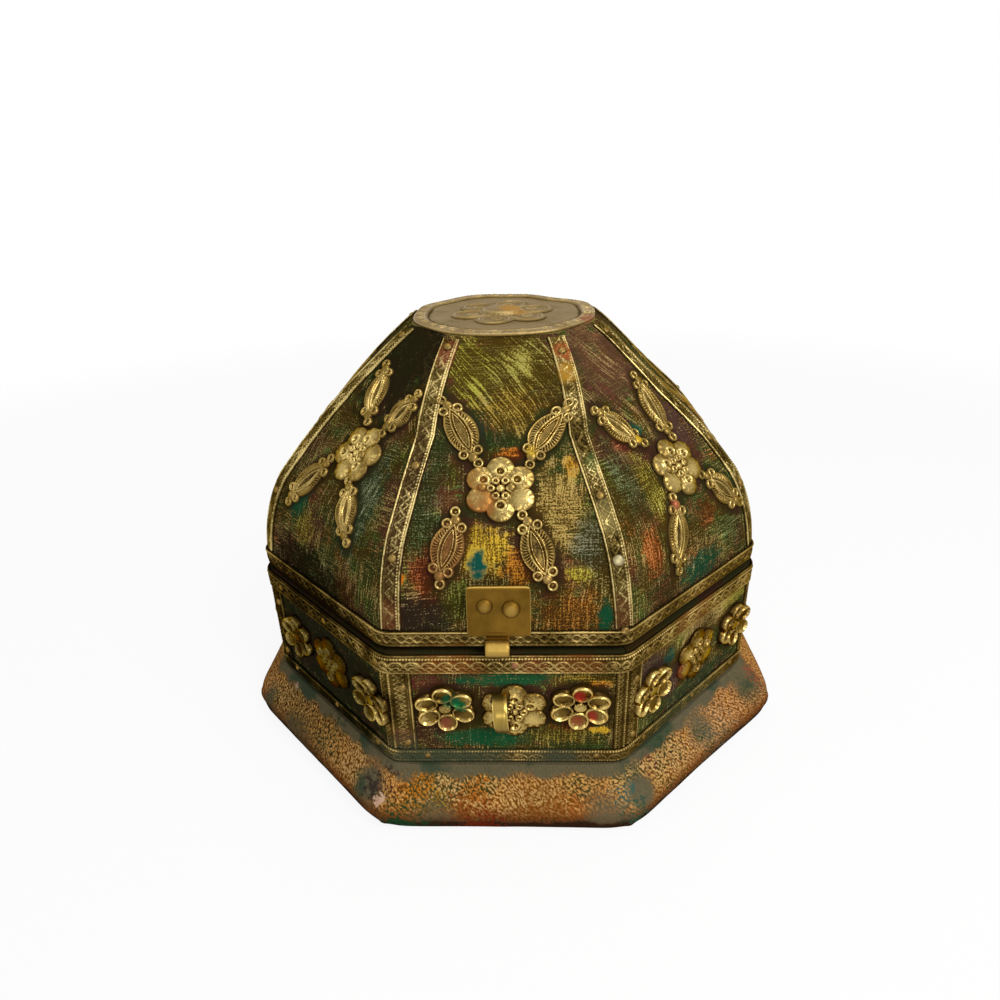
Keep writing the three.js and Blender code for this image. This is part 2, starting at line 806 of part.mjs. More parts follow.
body.add(piece("plinth", plinth(), plinthPaint()));
body.add(piece("foot_band", band(BODY_FLAT + CLEARANCE, PLINTH_HEIGHT + CLEARANCE, FOOT_BAND_TOP), agedBrass()));
body.add(piece("top_band", band(BODY_FLAT + CLEARANCE, TOP_BAND_BOTTOM, TOP_BAND_TOP), agedBrass()));

const wallFlower = stampedFlower(WALL_FLOWER_RADIUS, layOnWall, WALL_FLOWER_SHIFT, WALL_FLOWER_HEIGHT);
SIDE_NAMES.forEach((side, i) => {
  const onFront = side === "front";
  const board = onFront ? facingOut(cut(wall(), stapleLegs(CLEARANCE))) : wall();
  const tools = [...stapleLegs(CLEARANCE), stapleRoom()];
  const rosette = onFront ? facingOut(cut(wallFlower, tools)) : wallFlower;
  const pieces = [
    piece("wall_" + side, board, paintedWood()),
    piece("corner_strip_" + (i + 1), cornerStrip(), agedBrass()),
    piece("wall_flower_" + side, rosette, agedBrass()),
  ];
  for (const mesh of pieces) {
    mesh.rotation.z = i * TURN;
    body.add(mesh);
  }
});

body.add(piece("staple", staple(), plainBrass()));

SIDE_NAMES.forEach((side, i) => {
  const spray = LID_SPRAYS[{ front: "front", front_right: "right", front_left: "left" }[side] ?? "plain"];
  const pieces = [
    piece("lid_stave_" + side, lidStave(), paintedWood()),
    piece("lid_rib_" + (i + 1), lidRib(), agedBrass()),
    piece("lid_mount_" + side, lidMount(spray), agedBrass()),
  ];
  for (const mesh of pieces) {
    mesh.rotation.z = i * TURN;
    lid.add(mesh);
  }
});
lid.add(piece("lid_rim_band", band(LID_SKIRT_FLAT + CLEARANCE, RIM_BAND_BOTTOM, RIM_BAND_TOP), agedBrass()));
lid.add(piece("lid_top_block", lidBlock(), paintedWood()));
lid.add(piece("crown_plate", crownPlate(), dullBrass()));
lid.add(piece("crown_medallion", medallion(), dullBrass()));
lid.add(piece("hasp_plate", haspPlate(), plainBrass()));

const hingeParts = [
  [body, piece("hinge_body_leaf", hingeBodyLeaf(), plainBrass())],
  [body, piece("hinge_pin", hingePin(), plainBrass())],
  [lid, piece("hinge_lid_leaf", hingeLidLeaf(), plainBrass())],
];
for (const [group, mesh] of hingeParts) {
  mesh.rotation.z = Math.PI;
  group.add(mesh);
}

export default box;
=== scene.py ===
import math

import bpy
import numpy as np
from mathutils import Matrix, Vector


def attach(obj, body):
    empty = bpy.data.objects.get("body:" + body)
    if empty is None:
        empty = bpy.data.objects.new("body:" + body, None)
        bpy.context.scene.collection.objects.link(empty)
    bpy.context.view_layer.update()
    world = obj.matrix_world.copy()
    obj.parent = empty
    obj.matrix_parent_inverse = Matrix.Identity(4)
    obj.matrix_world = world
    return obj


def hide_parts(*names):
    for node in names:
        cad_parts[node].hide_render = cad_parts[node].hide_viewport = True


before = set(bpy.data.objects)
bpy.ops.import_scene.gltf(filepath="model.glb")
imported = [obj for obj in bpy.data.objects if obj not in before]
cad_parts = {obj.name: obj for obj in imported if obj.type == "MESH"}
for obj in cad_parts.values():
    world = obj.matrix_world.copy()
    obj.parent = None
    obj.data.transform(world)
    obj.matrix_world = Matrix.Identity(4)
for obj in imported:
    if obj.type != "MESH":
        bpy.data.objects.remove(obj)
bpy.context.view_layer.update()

# Camera: fitted to the corners of the box in the photograph, a close, slightly rolled view from the front and
# above. It is given by its turn about the box and by its steps along its own directions, in metres.
CAMERA_TURN, CAMERA_RISE, CAMERA_ROLL = math.radians(2.287), math.radians(25.312), math.radians(-1.655)
CAMERA_DISTANCE, CAMERA_ACROSS, CAMERA_UP = 0.2963, -0.00489, 0.06046
CAMERA_LENS = 25.142

back = Vector((
    math.sin(CAMERA_TURN) * math.cos(CAMERA_RISE),
    -math.cos(CAMERA_TURN) * math.cos(CAMERA_RISE),
    math.sin(CAMERA_RISE),
))
level = (-back).cross(Vector((0, 0, 1))).normalized()
upright = level.cross(-back)
right = level * math.cos(CAMERA_ROLL) + upright * math.sin(CAMERA_ROLL)
up = upright * math.cos(CAMERA_ROLL) - level * math.sin(CAMERA_ROLL)
camera = bpy.data.objects.new("camera", bpy.data.cameras.new("camera"))
camera.matrix_world = Matrix.Translation(back * CAMERA_DISTANCE + right * CAMERA_ACROSS + up * CAMERA_UP) @ Matrix(
    (right, up, back)
).transposed().to_4x4()
camera.data.lens = CAMERA_LENS
camera.data.sensor_width = 36
camera.data.clip_start = 0.01
bpy.context.scene.collection.objects.link(camera)
bpy.context.scene.camera = camera
bpy.context.scene.view_settings.view_transform = "Standard"

# Setting: a plain pale floor, which is white to the camera as in the photograph, and soft studio light from a dim sky
# and four round lamps. Materials, here and below, are wired from nodes, and a wire counts as a number in arithmetic.
class Wire:
    """One output of a node. Each sum, difference or product with it adds a Math node."""
    def __init__(self, socket):
        self.socket = socket

    def __add__(self, other):
        return maths("ADD", self, other)

    def __sub__(self, other):
        return maths("SUBTRACT", self, other)

    def __rsub__(self, other):
        return maths("SUBTRACT", other, self)

    def __mul__(self, other):
        return maths("MULTIPLY", self, other)


def plug(made, **inputs):
    """Set a node's inputs, by name with _ for a space or by _index, to a value or to a wire."""
    for key, value in inputs.items():
        socket = made.inputs[int(key[1:])] if key[0] == "_" else made.inputs[key.replace("_", " ")]
        if isinstance(value, Wire):
            socket.id_data.links.new(value.socket, socket)
        else:
            socket.default_value = value


def node(kind, props=None, out=0, tree=None, **inputs):
    """An output of a new node of a kind, with its settings and inputs, in the tree that is given or its wires' own."""
    tree = tree or next(value.socket.id_data for value in inputs.values() if isinstance(value, Wire))
    made = tree.nodes.new("ShaderNode" + kind)
    for key, value in (props or {}).items():
        setattr(made, key, value)
    plug(made, **inputs)
    return Wire(made.outputs[out]) if len(made.outputs) else None


def maths(operation, a, b=0.0):
    """The result of one arithmetic step."""
    return node("Math", {"operation": operation}, _0=a, _1=b)


def span(value, low, high, to_low=0.0, to_high=1.0):
    """A value eased from one range to another."""
    return node("MapRange", {"interpolation_type": "SMOOTHSTEP"}, _0=value, _1=low, _2=high, _3=to_low, _4=to_high)


def seen(tree):
    """1 for what the camera sees, also in a gloss or through glass, and 0 for the light that falls on things."""
    rays = [node("LightPath", out=out, tree=tree) for out in ("Is Camera Ray", "Is Glossy Ray", "Is Transmission Ray")]
    return maths("MAXIMUM", maths("MAXIMUM", rays[0], rays[1]), rays[2])


def plain_floor():
    """A flat square, matt to the light and glowing white where it is seen, wholly so only away from the box."""
    size = 3.0
    mesh = bpy.data.meshes.new("floor")
    mesh.from_pydata([(-size, -size, 0), (size, -size, 0), (size, size, 0), (-size, size, 0)], [], [(0, 1, 2, 3)])
    floor = bpy.data.objects.new("floor", mesh)
    bpy.context.scene.collection.objects.link(floor)
    material = bpy.data.materials.new("floor_white")
    material.use_nodes = True
    tree = material.node_tree
    tree.nodes.clear()
    matt = node("BsdfDiffuse", tree=tree, Color=(0.8, 0.8, 0.79, 1))
    glow = node("Emission", tree=tree, Color=(1, 1, 1, 1), Strength=1.03)
    far = node("VectorMath", {"operation": "LENGTH"}, "Value", _0=node("TexCoord", out="Object", tree=tree))
    share = seen(tree) * span(far, 0.35, 0.9, 0.88, 1.0)
    node("OutputMaterial", Surface=node("MixShader", _0=share, _1=matt, _2=glow))
    mesh.materials.append(material)


plain_floor()

world = bpy.data.worlds.new("studio")
bpy.context.scene.world = world
world.use_nodes = True
sky = world.node_tree
sky.nodes.clear()
node("OutputWorld", Surface=node("Background", Color=(1, 1, 1, 1), Strength=seen(sky) * 0.78 + 0.22))

for name, spot, size, power in (
    ("light_key", (0.42, -0.42, 0.62), 0.42, 3.6),
    ("light_left", (-0.65, -0.30, 0.40), 0.35, 0.5),
    ("light_top", (0.05, 0.15, 0.85), 0.45, 1.3),
    ("light_front", (0.10, -0.75, 0.22), 0.22, 0.7),
):
    lamp = bpy.data.lights.new(name, "AREA")
    lamp.shape = "DISK"
    lamp.size = size
    lamp.energy = power
    holder = bpy.data.objects.new(name, lamp)
    spot = Vector(spot)
    turned = (spot - Vector((0, 0, 0.07))).to_track_quat("Z", "Y").to_matrix().to_4x4()
    holder.matrix_world = Matrix.Translation(spot) @ turned
    bpy.context.scene.collection.objects.link(holder)

# Plinth: one moulded board with a rounded nose, which is the box's floor too. It is covered with gesso that dried in
# pebbles, then painted and rubbed with gold. First come the sizes that the pieces share with the CAD model, in
# millimetres.
MM = 0.001
SIDES = 8
TURN = 2 * math.pi / SIDES
MITRE = math.tan(TURN / 2)
SIDE_NAMES = ("front", "front_right", "right", "back_right", "back", "back_left", "left", "front_left")
BODY_FLAT = 83.15
PLINTH_TOP = 18.0
WALL_TOP = 59.1
LID_BOTTOM = 59.4
RIM_BAND = (61.0, 66.0)
TOP_BAND = (52.0, 58.4)
FOOT_BAND = (18.3, 23.1)
LID_FLAT = 82.4
LID_TOP = 137.0
BLOCK_BOTTOM = 131.0


def add_piece(name, body, part, material, replaced=(), uv=None, crease=40):
    """One closed mesh object from points in millimetres, rows of four-sided faces, caps and a lift per point."""
    points, quads, caps, lift = part
    if body == "lid":
        points = out_of_true(points)
    sizes = np.concatenate([np.full(len(quads), 4), [len(cap) for cap in caps]]).astype(np.int32)
    loops = np.concatenate([quads.ravel(), *[np.asarray(cap) for cap in caps]]).astype(np.int32)
    a, b, c, d = (points[quads[:, corner]] for corner in range(4))
    volume = (np.cross(a, b) * c).sum() + (np.cross(a, c) * d).sum()
    for cap in caps:
        cap = np.asarray(cap)
        first = points[cap[0]]
        volume += (np.cross(np.broadcast_to(first, (len(cap) - 2, 3)), points[cap[1:-1]]) * points[cap[2:]]).sum()
    if volume < 0:
        loops = np.concatenate([quads[:, ::-1].ravel(), *[np.asarray(cap)[::-1] for cap in caps]]).astype(np.int32)
    mesh = bpy.data.meshes.new(name)
    mesh.vertices.add(len(points))
    mesh.vertices.foreach_set("co", (points * MM).astype(np.float32).ravel())
    mesh.loops.add(len(loops))
    mesh.loops.foreach_set("vertex_index", loops)
    mesh.polygons.add(len(sizes))
    mesh.polygons.foreach_set("loop_start", np.concatenate([[0], np.cumsum(sizes)[:-1]]).astype(np.int32))
    mesh.update(calc_edges=True)
    mesh.attributes.new("lift", "FLOAT", "POINT").data.foreach_set("value", lift.astype(np.float32))
    if uv is not None:
        layer = mesh.uv_layers.new(name="flat")
        if uv.ndim == 2:
            spread = uv[loops]
        else:
            spread = np.zeros((len(loops), 2))
            spread[: uv.shape[0] * 4] = (uv[:, ::-1] if volume < 0 else uv).reshape(-1, 2)
        layer.data.foreach_set("uv", spread.astype(np.float32).ravel())
    mesh.polygons.foreach_set("use_smooth", np.ones(len(sizes), bool))
    mesh.set_sharp_from_angle(angle=math.radians(crease))
    mesh.validate()
    made = bpy.data.objects.new(name, mesh)
    bpy.context.scene.collection.objects.link(made)
    mesh.materials.append(material)
    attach(made, body)
    if replaced:
        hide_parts(*replaced)
    return made


def grid_quads(rows, cols, ring_rows=False, ring_cols=False, first=0):
    """The faces of a grid of points, row by row, closed round on itself where asked."""
    i, j = np.meshgrid(
        np.arange(rows if ring_rows else rows - 1), np.arange(cols if ring_cols else cols - 1), indexing="ij"
    )
    i2, j2 = (i + 1) % rows, (j + 1) % cols
    return first + np.stack([i * cols + j, i * cols + j2, i2 * cols + j2, i2 * cols + j], -1).reshape(-1, 4)


def turn_to_side(points, side):
    """Points made on the front, turned to another side of the octagon."""
    angle = side * TURN
    x, y, z = points[..., 0], points[..., 1], points[..., 2]
    c, s = np.cos(angle), np.sin(angle)
    return np.stack([x * c - y * s, x * s + y * c, z], -1)


def soft_noise(x, y, seed, scale):
    """A smooth random surface: a sum of a few waves in random directions."""
    rng = np.random.default_rng(seed)
    total = np.zeros(np.broadcast(x, y).shape)
    for _ in range(9):
        angle, phase = rng.uniform(0, 2 * np.pi, 2)
        pitch = scale * rng.uniform(0.6, 1.8)
        total += np.sin((x * np.cos(angle) + y * np.sin(angle)) * 2 * np.pi / pitch + phase)
    return total / 9


REACH = 94  # the plinth's half width, by which a bearing becomes a length


def plinth_part():
    """The profile is swept round an octagon whose corners are worn back by up to a millimetre. The two corners on
    the right of the front stand a little out of true."""
    profile = np.array([
        (90.6, 0.0), (91.4, 0.15), (92.4, 0.7), (93.3, 1.7), (94.0, 3.2), (94.35, 5.0), (94.4, 6.6), (94.1, 7.9),
        (93.2, 9.1), (92.0, 10.2), (90.6, 11.5), (89.0, 13.0), (87.5, 14.5), (86.2, 16.0), (85.2, 17.2), (84.6, 18.0),
    ])
    fine = np.linspace(0, len(profile) - 1, 60)
    flat = np.interp(fine, np.arange(len(profile)), profile[:, 0])
    height = np.interp(fine, np.arange(len(profile)), profile[:, 1])
    steps = 8 * 90
    around = (np.arange(steps) + 0.5) / steps * 2 * np.pi
    off = (around + TURN / 2) % TURN - TURN / 2
    corner = np.exp(-(((TURN / 2 - np.abs(off)) / math.radians(2.6)) ** 2))
    stretch = 1 / np.cos(off) - 0.011 * corner
    radius = stretch[:, None] * flat
    arc, up = around[:, None] * REACH, height[None, :] * 1.3
    bumps = 0.16 * soft_noise(arc, up, 5, 26) + 0.05 * soft_noise(arc, up, 6, 5)
    radius = radius + bumps * np.clip((height - 0.4) / 2, 0, 1) * np.clip((17.8 - height) / 2, 0, 1)
    low = np.clip((16 - height) / 8, 0, 1)
    right, near = np.exp(-((around - 1.18) / 0.36) ** 2)[:, None], np.exp(-((around - 0.39) / 0.3) ** 2)[:, None]
    radius = radius + 1.3 * right * low
    turned = around[:, None] - (0.022 * right + 0.012 * near) * low
    x, y = radius * np.sin(turned), -radius * np.cos(turned)
    points = np.stack([x, y, np.broadcast_to(height, x.shape)], -1).reshape(-1, 3)
    cols = len(flat)
    quads = grid_quads(steps, cols, ring_rows=True)
    ring = np.arange(steps) * cols
    inner = points.reshape(steps, cols, 3)[:, -1] * np.array([0.86, 0.86, 1])
    first = len(points)
    points = np.concatenate([points, inner])
    nxt = (np.arange(steps) + 1) % steps
    ledge = np.stack([ring + cols - 1, first + np.arange(steps), first + nxt, ring[nxt] + cols - 1], -1)
    quads = np.concatenate([quads, ledge])
    caps = [ring, (first + np.arange(steps))[::-1]]
    lift = np.zeros(len(points))
    lift[first:] = -1
    run = np.r_[0, np.cumsum(np.hypot(np.diff(flat), np.diff(height)))]
    arc = np.where(around > np.pi, around - 2 * np.pi, around)[:, None] * REACH
    uv = np.stack([arc + 0 * run, run + 0 * arc], -1).reshape(-1, 2)
    uv = np.concatenate([uv, uv[ring + cols - 1]])[quads]
    split = np.ptp(uv[..., 0], axis=1) > 100
    uv[split, :, 0] = np.where(uv[split, :, 0] < 0, uv[split, :, 0] + 2 * np.pi * REACH, uv[split, :, 0])
    return (points, quads, caps, lift), uv


def new_material(name):
    """An empty principled material, its tree and its shader."""
    material = bpy.data.materials.new(name)
    material.use_nodes = True
    return material, material.node_tree, material.node_tree.nodes["Principled BSDF"]


def in_millimetres(tree):
    """The place on the object in millimetres."""
    return node("VectorMath", {"operation": "SCALE"}, _0=node("TexCoord", out="Object", tree=tree), Scale=1000.0)


def attribute(tree, name):
    """The value of one of the mesh's attributes."""
    return node("Attribute", {"attribute_name": name}, "Fac", tree)


def components(vector):
    """The three parts of a vector or a colour."""
    return [Wire(part) for part in node("SeparateXYZ", _0=vector).socket.node.outputs]


def noise(vector, scale, detail=3.0, rough=0.55, out="Fac"):
    """Cloudy noise, as one value or as a colour of three."""
    return node("TexNoise", None, out, Vector=vector, Scale=scale, Detail=detail, Roughness=rough)


def blend_colour(factor, a, b):
    """Colour a where the factor is 0 and colour b where it is 1."""
    a, b = [(*c, 1) if isinstance(c, tuple) else c for c in (a, b)]
    return node("Mix", {"data_type": "RGBA"}, 2, _0=factor, _6=a, _7=b)


def wavering(flat, pitch, reach):
    """Flat coordinates, moved about by a slow noise so that straight marks on them bend."""
    shift = noise(flat, pitch, 2, out="Color")
    return node("VectorMath", {"operation": "MULTIPLY_ADD"}, _0=shift, _1=(reach, reach, 0), _2=flat)


def bump(height, strength, distance):
    """A fine relief, in metres."""
    return node("Bump", Strength=strength, Distance=distance, Height=height)


def unpainted_behind(tree, colour, grain, dark, pale):
    """Plain dark wood on the faces behind, whose lift is -1."""
    behind = span(attribute(tree, "lift"), -0.6, -0.05, 1.0, 0.0)
    return blend_colour(behind, colour, blend_colour(grain, dark, pale))


def near_spot(place, spot, ragged, reach, at_spot, beyond):
    """One value round a spot and another beyond its reach, with a ragged edge between them."""
    away = node("VectorMath", {"operation": "DISTANCE"}, "Value", _0=place, _1=spot)
    return span(away + ragged * reach, reach * 0.9, reach * 1.5, at_spot, beyond)


def paint_spots(place, ragged, colour, spots, fade=None):
    """Lay patches of paint over a colour, each [place, reach, colour, strength], with a ragged edge."""
    for spot, reach, tint, strength in spots:
        mask = near_spot(place, spot, ragged, reach, strength, 0.0)
        colour = blend_colour(mask if fade is None else mask * fade, colour, tint)
    return colour


# Paint seen on the plinth, each [place], reach, colour, strength: where it is smooth, with no colour of its own, what
# lies between the crumbs, where a chip shows the gesso, and what the gold on the crumbs turns to.
PLINTH_SMOOTH = (
    ((-43, -86, 12), 9, 1), ((41, -88, 11), 7, 1), ((-90, -45, 13), 9, 0.9),
    ((-22, -92, 3), 11, 0.8), ((64, -64, 14), 9, 0.8), ((30, -93.5, 2), 14, 0.9),
    ((-78, -62, 2), 15, 0.8), ((-66, -72, 13), 8, 0.7), ((-88, -50, 4), 10, 0.6),
    ((85, -40, 17), 13, 0.95),
)
PLINTH_SPOTS = (
    ((-40, -90, 13), 7.5, (0.045, 0.03, 0.024), 0.9),
    ((-33.5, -93.5, 5.5), 5, (0.01, 0.06, 0.022), 0.9),
    ((35.5, -89.5, 11.5), 4.6, (0.06, 0.125, 0.095), 0.9),
    ((38.5, -91.5, 6.5), 4.6, (0.03, 0.085, 0.05), 0.8),
    ((46, -81, 15.5), 4, (0.12, 0.035, 0.035), 0.7),
    ((-60, -68, 11), 8, (0.015, 0.045, 0.02), 0.7),
    ((-70, -66, 5), 12, (0.06, 0.04, 0.016), 0.7),
    ((-30, -93.5, 3), 8, (0.016, 0.06, 0.02), 0.8),
    ((52, -74, 13.5), 6, (0.03, 0.06, 0.028), 0.7),
    ((-8, -94.5, 2), 9, (0.17, 0.024, 0.008), 0.9),
    ((72, -64, 16), 14, (0.12, 0.11, 0.068), 0.7),
    ((92, -33, 9), 9, (0.3, 0.075, 0.03), 0.75),
    ((-92, -36, 8), 7, (0.22, 0.055, 0.022), 0.6),
    ((-77, -46, 16), 1.5, (0.6, 0.42, 0.3), 0.9),
)
PLINTH_CHIP = (-39.4, -91.8, 11.0)
PLINTH_GOLD = (
    ((-27, -90, 13), 8, (0.66, 0.22, 0.016), 0.95),
    ((-10, -90, 12.5), 6, (0.64, 0.2, 0.018), 0.9),
    ((-20, -93, 9), 6, (0.6, 0.36, 0.035), 0.8),
    ((12, -92, 9), 12, (0.46, 0.27, 0.07), 0.6),
    ((22, -93, 6), 8, (0.62, 0.18, 0.045), 0.8),
    ((-14, -94.4, 3), 11, (0.34, 0.09, 0.026), 0.9),
    ((12, -94.4, 2.5), 11, (0.4, 0.15, 0.034), 0.85),
    ((-34, -93, 5), 7, (0.22, 0.15, 0.03), 0.7),
    ((76, -56, 8), 24, (0.74, 0.38, 0.15), 0.85),
    ((-74, -60, 9), 24, (0.42, 0.25, 0.065), 0.85),
)


def plinth_paint():
    """Gold on the tops of gesso crumbs, which lie in faint slanting rows, with red-brown or dark paint between them. It
    is smooth and dull along the upper and lower edges and round some places."""
    material, tree, shader = new_material("plinth_stippled_paint")
    place = in_millimetres(tree)
    flat = node("UVMap", {"uv_map": "flat"}, tree=tree)
    height, along = components(place)[2], components(flat)[0]
    cloud = components(noise(place, 0.05, 4, out="Color"))
    grain = noise(place, 1.4, 4, 0.65)
    torn = span(noise(place, 0.6, 4), 0.36, 0.64)

    slanting = node("Mapping", _0=wavering(flat, 0.25, 3.0), Rotation=(0, 0, -0.8))
    rows = maths("SINE", components(slanting)[0] * 5.6) * span(along, -55.0, -30.0, 0.03, 0.085)
    cells = node("Mapping", _0=slanting, Scale=(1.6, 1.0, 1))
    cells = node("TexVoronoi", {"voronoi_dimensions": "2D"}, "Distance", Vector=cells, Scale=1.0)
    relief = rows + (0.85 - cells * 0.75) + (grain - 0.55) * 0.9

    under = blend_colour(span(cloud[0], 0.45, 0.6), (0.200, 0.066, 0.008), (0.225, 0.078, 0.010))
    under = blend_colour(span(cloud[1], 0.53, 0.62), under, (0.075, 0.058, 0.014))
    # Painted shade: the paint between the crumbs darkens towards the left face, which is away from the key light. It is
    # also darker towards the nose.
    left_shade_and_dark_nose = maths("MAXIMUM", span(along, -75.0, -35.0, 0.75, 0.0), span(height, 5.0, 9.5, 0.7, 0.0))
    under = blend_colour(left_shade_and_dark_nose, under, (0.050, 0.018, 0.004))
    gold = blend_colour(span(cloud[2], 0.42, 0.58), (0.78, 0.40, 0.11), (0.74, 0.45, 0.16))
    gold = paint_spots(place, torn, gold, PLINTH_GOLD)
    gold = blend_colour(span(height, 6.5, 10.5, 0.9, 0.0), gold, (0.215, 0.062, 0.017))
    middle = blend_colour(0.5, under, gold)

    level = height + (noise(place, 0.13) - 0.5) * 7.0
    stippled = span(level, 3.8, 6.6) * span(level, 14.2, 16.4, 1.0, 0.0)
    for spot, reach, strength in PLINTH_SMOOTH:
        stippled = stippled * near_spot(place, spot, cloud[0], reach, 1.0 - strength, 1.0)
    rubbed, tips = span(relief, 0.32, 0.54) * stippled, span(relief, 0.52, 0.74) * stippled

    smooth = blend_colour(grain, (0.095, 0.076, 0.034), (0.190, 0.160, 0.092))
    smooth = blend_colour(span(cloud[2], 0.5, 0.6), smooth, (0.060, 0.078, 0.042))
    low = blend_colour(grain, (0.020, 0.010, 0.005), (0.060, 0.026, 0.012))
    smooth = blend_colour(span(level, 4.0, 7.0, 1.0, 0.0), smooth, low)
    colour = paint_spots(place, torn, blend_colour(stippled, smooth, under), PLINTH_SPOTS)
    colour = blend_colour(tips, blend_colour(rubbed, colour, middle), gold)
    away = node("VectorMath", {"operation": "DISTANCE"}, "Value", _0=place, _1=PLINTH_CHIP)
    colour = blend_colour(span(away + torn * 1.2, 2.9, 3.3, 1.0, 0.0), colour, (0.72, 0.46, 0.30))
    colour = unpainted_behind(tree, colour, grain, (0.03, 0.016, 0.01), (0.055, 0.03, 0.018))
    plug(shader, Base_Color=colour, Roughness=span(rubbed, 0, 1, 0.5, 0.62), Specular_IOR_Level=0.0,
         Normal=bump(relief, 0.6, 0.0005))
    return material


part, uv = plinth_part()
add_piece("plinth_board", "body", part, plinth_paint(), ["plinth"], uv)

# Walls and lid: mitred boards under a layer of gessoed cloth, painted dark and rubbed with dry colour that caught on
# the threads. The paint reads flat coordinates: across + 100 x side, and up along the board, both in millimetres.
SOFT, MITRE_GAP, WALL_THICK, STAVE_THICK = 3.0, 0.17, 7, 6.5


def soften(across, half):
    """Take a length along a side round the softened corners: within SOFT of an end it goes on along an arc that
    touches both sides, so it gives a place along the side and how far in from its face."""
    radius = SOFT / MITRE
    angle = np.clip((np.abs(across) - (half - SOFT)) / SOFT, 0, 1) * TURN / 2
    bent = np.where(angle > 0, half - SOFT + radius * np.sin(angle), np.abs(across))
    return np.sign(across) * bent, radius * (1 - np.cos(angle))


def board_part(outside, inside, side, columns=26, unevenness=0.10):
    """A board whose outer face follows outside [flat, height] and whose inner face follows inside, mitred at both
    ends, with its upright corners softened."""
    half = (outside[:, 0] * MITRE)[:, None]
    edge = np.linspace(0, 1, 6)[None, :]
    across = np.concatenate([
        -half + SOFT * edge[:, :-1], (half - SOFT) * np.linspace(-1, 1, columns - 10)[None, :],
        (half - SOFT * edge[:, :-1])[:, ::-1],
    ], 1)
    x, inward = soften(across, half)
    steps = np.r_[0, np.cumsum(np.hypot(*np.diff(outside, axis=0).T))]
    waves = unevenness * soft_noise(across, steps[:, None] + 37 * side, 11 + side, 24)
    waves *= np.clip(np.minimum(steps, steps[-1] - steps) / 6, 0, 1)[:, None] * (1 - (across / half) ** 8)
    front = np.stack([
        x * (1 - MITRE_GAP / half), -outside[:, :1] + inward - waves, outside[:, 1:] + 0 * across,
    ], -1)
    ends = np.linspace(-1, 1, 2)[None, :]
    rear = np.stack([
        ends * (inside[:, :1] * MITRE - MITRE_GAP), -inside[:, :1] + 0 * ends, inside[:, 1:] + 0 * ends,
    ], -1)
    rows, columns = across.shape
    first = rows * columns
    i = np.arange(rows - 1)
    left, right = i * columns, i * columns + columns - 1
    b0, b1 = first + 2 * i, first + 2 * i + 1
    quads = [grid_quads(rows, columns), *(np.stack(loop, -1) for loop in (
        (left, left + columns, b0 + 2, b0), (right + columns, right, b1, b1 + 2), (b0, b0 + 2, b1 + 2, b1),
    ))]
    last = (rows - 1) * columns
    caps = [
        [*range(columns - 1, -1, -1), first, first + 1],
        [*range(last, last + columns), first + 2 * rows - 1, first + 2 * rows - 2],
    ]
    points = np.concatenate([front.reshape(-1, 3), rear.reshape(-1, 3)])
    lift = np.concatenate([np.zeros(first), -np.ones(2 * rows)])
    flat = np.concatenate([across.ravel(), rear[..., 0].ravel()]) + 100 * side
    uv = np.stack([flat, np.r_[np.repeat(steps, columns), np.repeat(steps, 2)]], -1)
    return (turn_to_side(points, side), np.concatenate(quads), caps, lift), uv


# Dry colour on the boards, and a patch of painted shade on the front-left side of the walls and of the lid: [across +
# 100 x side, up], reach across and up, colour, strength, and how much more there is of it. Less than 0 makes it the
# colour of the ground, with few marks over it.
WALL_PATCHES = (
    ((-6, 9.5), (14, 3.4), (0.010, 0.095, 0.034), 0.9, -0.3),
    ((17, 11), (13, 4.2), (0.38, 0.30, 0.04), 0.8, 0.36),
    ((1, 31.5), (17, 2.4), (0.008, 0.095, 0.034), 0.9, -0.25),
    ((21, 31), (9, 2.4), (0.46, 0.30, 0.03), 0.8, 0.45),
    ((28, 29.5), (3.5, 1.6), (0.75, 0.30, 0.02), 0.9, 0.7),
    ((-25, 31), (7, 3), (0.13, 0.026, 0.020), 0.75, -0.1),
    ((29, 22), (3, 8), (0.16, 0.14, 0.09), 0.7, 0.2),
    ((20, 15), (7, 3), (0.42, 0.07, 0.02), 0.8, 0.25),
    ((28, 12.5), (3, 1.5), (0.75, 0.45, 0.03), 0.95, 0.8),
    ((78, 27), (8, 8), (0.055, 0.030, 0.026), 0.8, -0.1),
    ((92, 31), (8, 4), (0.34, 0.30, 0.07), 0.8, 0.4),
    ((88, 27), (3, 3.6), (0.010, 0.070, 0.050), 0.8, -0.2),
    ((124, 32), (10, 5), (0.46, 0.38, 0.05), 0.85, 0.55),
    ((108, 30), (13, 8), (0.48, 0.32, 0.11), 0.9, 0.5),
    ((90, 15), (5, 7), (0.060, 0.030, 0.028), 0.8, -0.1),
    ((106, 8), (24, 4), (0.022, 0.042, 0.016), 0.8, -0.1),
    # Painted shade: the whole front-left wall, away from the key light, gets a near-black ground with few marks.
    ((698, 20), (40, 26), (0.019, 0.018, 0.008), 0.95, -0.55),
)
